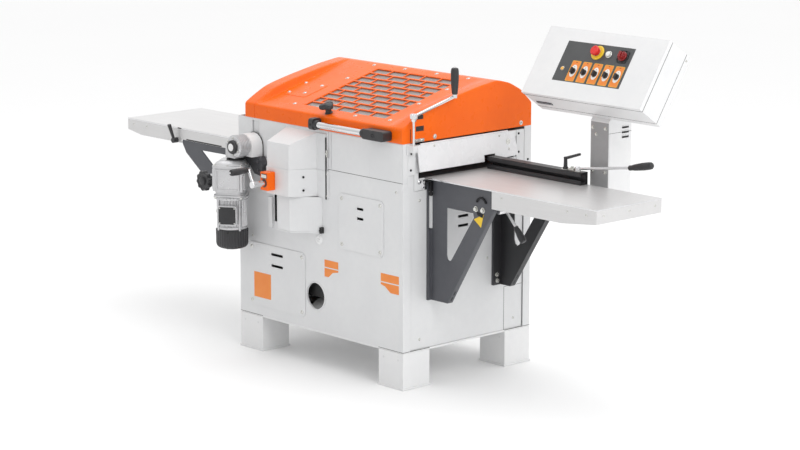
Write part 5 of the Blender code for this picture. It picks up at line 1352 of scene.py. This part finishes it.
tab = moved(box(-0.285, -0.205, 0.0700, 0.0860, -E_V - 0.0030, -E_V + 0.0005), DOOR)
make("box_drip_tab", tab, "grey_paint", "machine", 0.0008)

# Pedestal: bolted front plate in mid grey that is painted shade on the front face, mount plate under the box,
# louvre lips, foot plate, rear door seam
front = box(PED_X0 + 0.0015, PED_X1 - 0.0015, PED_Y0 - 0.0016, PED_Y0 + 0.0002, 0.7400, 1.0930)
make("pedestal_front_shade_plate", front, "shade_grey_paint", "machine", 0.0007)
line = box(PED_X0 - 0.0003, PED_X1 + 0.0004, PED_Y0 - 0.0004, PED_Y1 + 0.0004, 1.0520, 1.0532)
make("pedestal_joint_line", line, "black_rubber", "machine", 0.0)
shells = many(hex_bolt, [(x, PED_Y0 - 0.0016, z) for x in (1.0324, 1.0990) for z in (1.0705, 0.8993, 0.7600)],
              FRONT, 0.0105, 0.005)
shells += many(hex_bolt, [(1.050, PED_Y0 - 0.0016, 1.0450)], FRONT, 0.0095, 0.004)
make("pedestal_bolts", shells, "zinc", "machine", 0.0004)
lips = []
for z in (1.028, 1.047, 1.066):
    lips += prism([(PED_X1 - 0.0002, z + 0.0080), (PED_X1 + 0.0030, z + 0.0078),
                   (PED_X1 + 0.0034, z + 0.0090), (PED_X1 - 0.0002, z + 0.0120)], "y", PED_Y1 - 0.054,
                  PED_Y1 - 0.012)
lips += box(PED_X1 - 0.0002, PED_X1 + 0.0006, PED_Y0 + 0.004, PED_Y0 + 0.0050, 0.7400, 1.0500)
make("pedestal_louvres", lips, "white_paint", "machine", 0.0004)
foot = box(PED_X0 - 0.006, PED_X1 + 0.006, PED_Y0 - 0.002, PED_Y1 + 0.006, 0.7310, 0.7352)
make("pedestal_foot_plate", foot, "white_paint", "machine", 0.0010)

# ---------------------------------------------------------------- rear wall and outfeed end
shells = many(button_screw, [(x, BODY_Y, z) for x in (-0.485, 0.0, 0.485) for z in (0.180, 0.460, 0.720,
                                                                                    0.960)], BACK, 0.0058,
              0.003)
shells += many(hex_bolt, [(x, BODY_Y, z) for x in (-0.265, 0.265) for z in (0.235, 0.375)], BACK, 0.0095,
               0.004)
make("rear_screws", shells, "zinc", "machine", 0.0003)
door = prism(corner_rounded(-0.420, 0.420, 0.480, 0.930, 0.010), "y", BODY_Y - 0.0002, BODY_Y + 0.0020)
make("rear_service_door", door, "white_paint", "machine", 0.0009)
LOUVRES = [(col, 0.560 + 0.024 * k) for col in (-0.260, 0.100) for k in range(7)]
louvres = []
for col, z in LOUVRES:
    louvres += prism([(BODY_Y + 0.0018, z), (BODY_Y + 0.0070, z - 0.0015), (BODY_Y + 0.0078, z + 0.0012),
                      (BODY_Y + 0.0018, z + 0.0130)], "x", col, col + 0.160)
make("rear_louvres", louvres, "white_paint", "machine", 0.0005)
# Black strips under each louvre lip: painted shade in the gaps
shadow = []
for col, z in LOUVRES:
    shadow += box(col + 0.002, col + 0.158, BODY_Y + 0.0018, BODY_Y + 0.0024, z - 0.0050, z + 0.0005)
make("rear_louvre_shade", shadow, "black_rubber", "machine", 0.0)
frame_hole = []
for x0, x1, z0, z1 in ((-0.262, 0.262, 0.355, 0.372), (-0.262, 0.262, 0.238, 0.255),
                       (-0.262, -0.245, 0.238, 0.372), (0.245, 0.262, 0.238, 0.372)):
    frame_hole += box(x0, x1, BODY_Y - 0.0002, BODY_Y + 0.0030, z0, z1)
make("rear_opening_frame", frame_hole, "white_paint", "machine", 0.0009)
panel = box(-0.255, 0.255, BODY_Y - 0.0052, BODY_Y - 0.0040, 0.245, 0.365)
make("rear_opening_cover", panel, "plate_grey", "machine", 0.0006)
gland = many(turned, [(x, BODY_Y - 0.0040, 0.305) for x in (-0.150, 0.150)], BACK,
             [(0, 0.0160), (0.0080, 0.0160), (0.0085, 0.0135), (0.0180, 0.0130), (0.0210, 0.0100),
              (0.0215, 0.0060)], 12)
make("rear_glands", gland, "black_plastic", "machine", 0.0006)
strip = box(-0.5075, -END_WALL_X, -0.2640, 0.2870, 0.9600, 0.9840) + box(-0.5075, -END_WALL_X, -0.2800,
                                                                         -0.2620, 0.805, 0.984)
strip += box(-0.5075, -END_WALL_X, 0.2850, 0.3030, 0.805, 0.984)
make("outfeed_mouth_trim", strip, "white_paint", "machine", 0.0009)
curtain = []
for k in range(18):
    y = -0.2560 + k * 0.0300
    curtain += box(-0.5035, -0.5020, y, y + 0.0292, 0.8560, 0.9620)
make("outfeed_curtain", curtain, "black_rubber", "machine", 0.0004)


# ---------------------------------------------------------------- floor, light and camera
floor_size = 60.0
mesh = bpy.data.meshes.new("studio_floor")
corners = [(-floor_size, -floor_size), (floor_size, -floor_size), (floor_size, floor_size),
           (-floor_size, floor_size)]
mesh.from_pydata([(x, y, -0.0005) for x, y in corners], [], [(0, 1, 2, 3)])
floor = bpy.data.objects.new("studio_floor", mesh)
bpy.context.scene.collection.objects.link(floor)
made = Finish("floor_paper", (0.955, 0.955, 0.955), 0.85)
mesh.materials.append(made.mottle(0.8, (0.945, 0.945, 0.945), 0.5).grain(60.0, 0.0002, strength=0.2).done())

world = bpy.data.worlds.new("studio")
world.use_nodes = True
sky = world.node_tree
sky.nodes["Background"].inputs["Color"].default_value = (1.0, 1.0, 1.0, 1.0)
sky_coords = sky.nodes.new("ShaderNodeTexCoord")
sky_split = sky.nodes.new("ShaderNodeSeparateXYZ")
sky.links.new(sky_coords.outputs["Generated"], sky_split.inputs[0])
strength = None
for socket, low, high, dim, full in (("Y", -0.9, 0.1, 0.62, 1.10), ("X", -0.2, 0.9, 1.0, 1.10)):
    ramp = sky.nodes.new("ShaderNodeMapRange")
    for field, value in zip(("From Min", "From Max", "To Min", "To Max"), (low, high, dim, full)):
        ramp.inputs[field].default_value = value
    sky.links.new(sky_split.outputs[socket], ramp.inputs["Value"])
    if strength is None:
        strength = ramp.outputs["Result"]
    else:
        product = sky.nodes.new("ShaderNodeMath")
        product.operation = "MULTIPLY"
        sky.links.new(strength, product.inputs[0])
        sky.links.new(ramp.outputs["Result"], product.inputs[1])
        strength = product.outputs[0]
sky.links.new(strength, sky.nodes["Background"].inputs["Strength"])
bpy.context.scene.world = world


def area_light(name, at, target, size, power):
    data = bpy.data.lights.new(name, "AREA")
    data.shape = "RECTANGLE"
    data.size, data.size_y = size
    data.energy = power
    lamp = bpy.data.objects.new(name, data)
    bpy.context.scene.collection.objects.link(lamp)
    lamp.location = at
    lamp.rotation_euler = (Vector(target) - Vector(at)).to_track_quat("-Z", "Y").to_euler()


area_light("key", (5.5, -1.2, 4.6), (0.2, 0.1, 0.7), (3.5, 3.5), 90)
area_light("overhead", (-0.5, 0.4, 5.2), (0.1, 0.1, 0.8), (4.5, 3.5), 60)

camera = bpy.data.objects.new("camera", bpy.data.cameras.new("camera"))
bpy.context.scene.collection.objects.link(camera)
camera.location = SHIFT @ Vector((7.616, -6.923, 2.638))
camera.rotation_euler = (math.radians(90 - 11.466), 0.0, math.radians(47.3375))
camera.data.sensor_width = 36.0
camera.data.lens = 112.89
camera.data.clip_end = 200.0
bpy.context.scene.camera = camera
bpy.context.scene.view_settings.view_transform = "Standard"
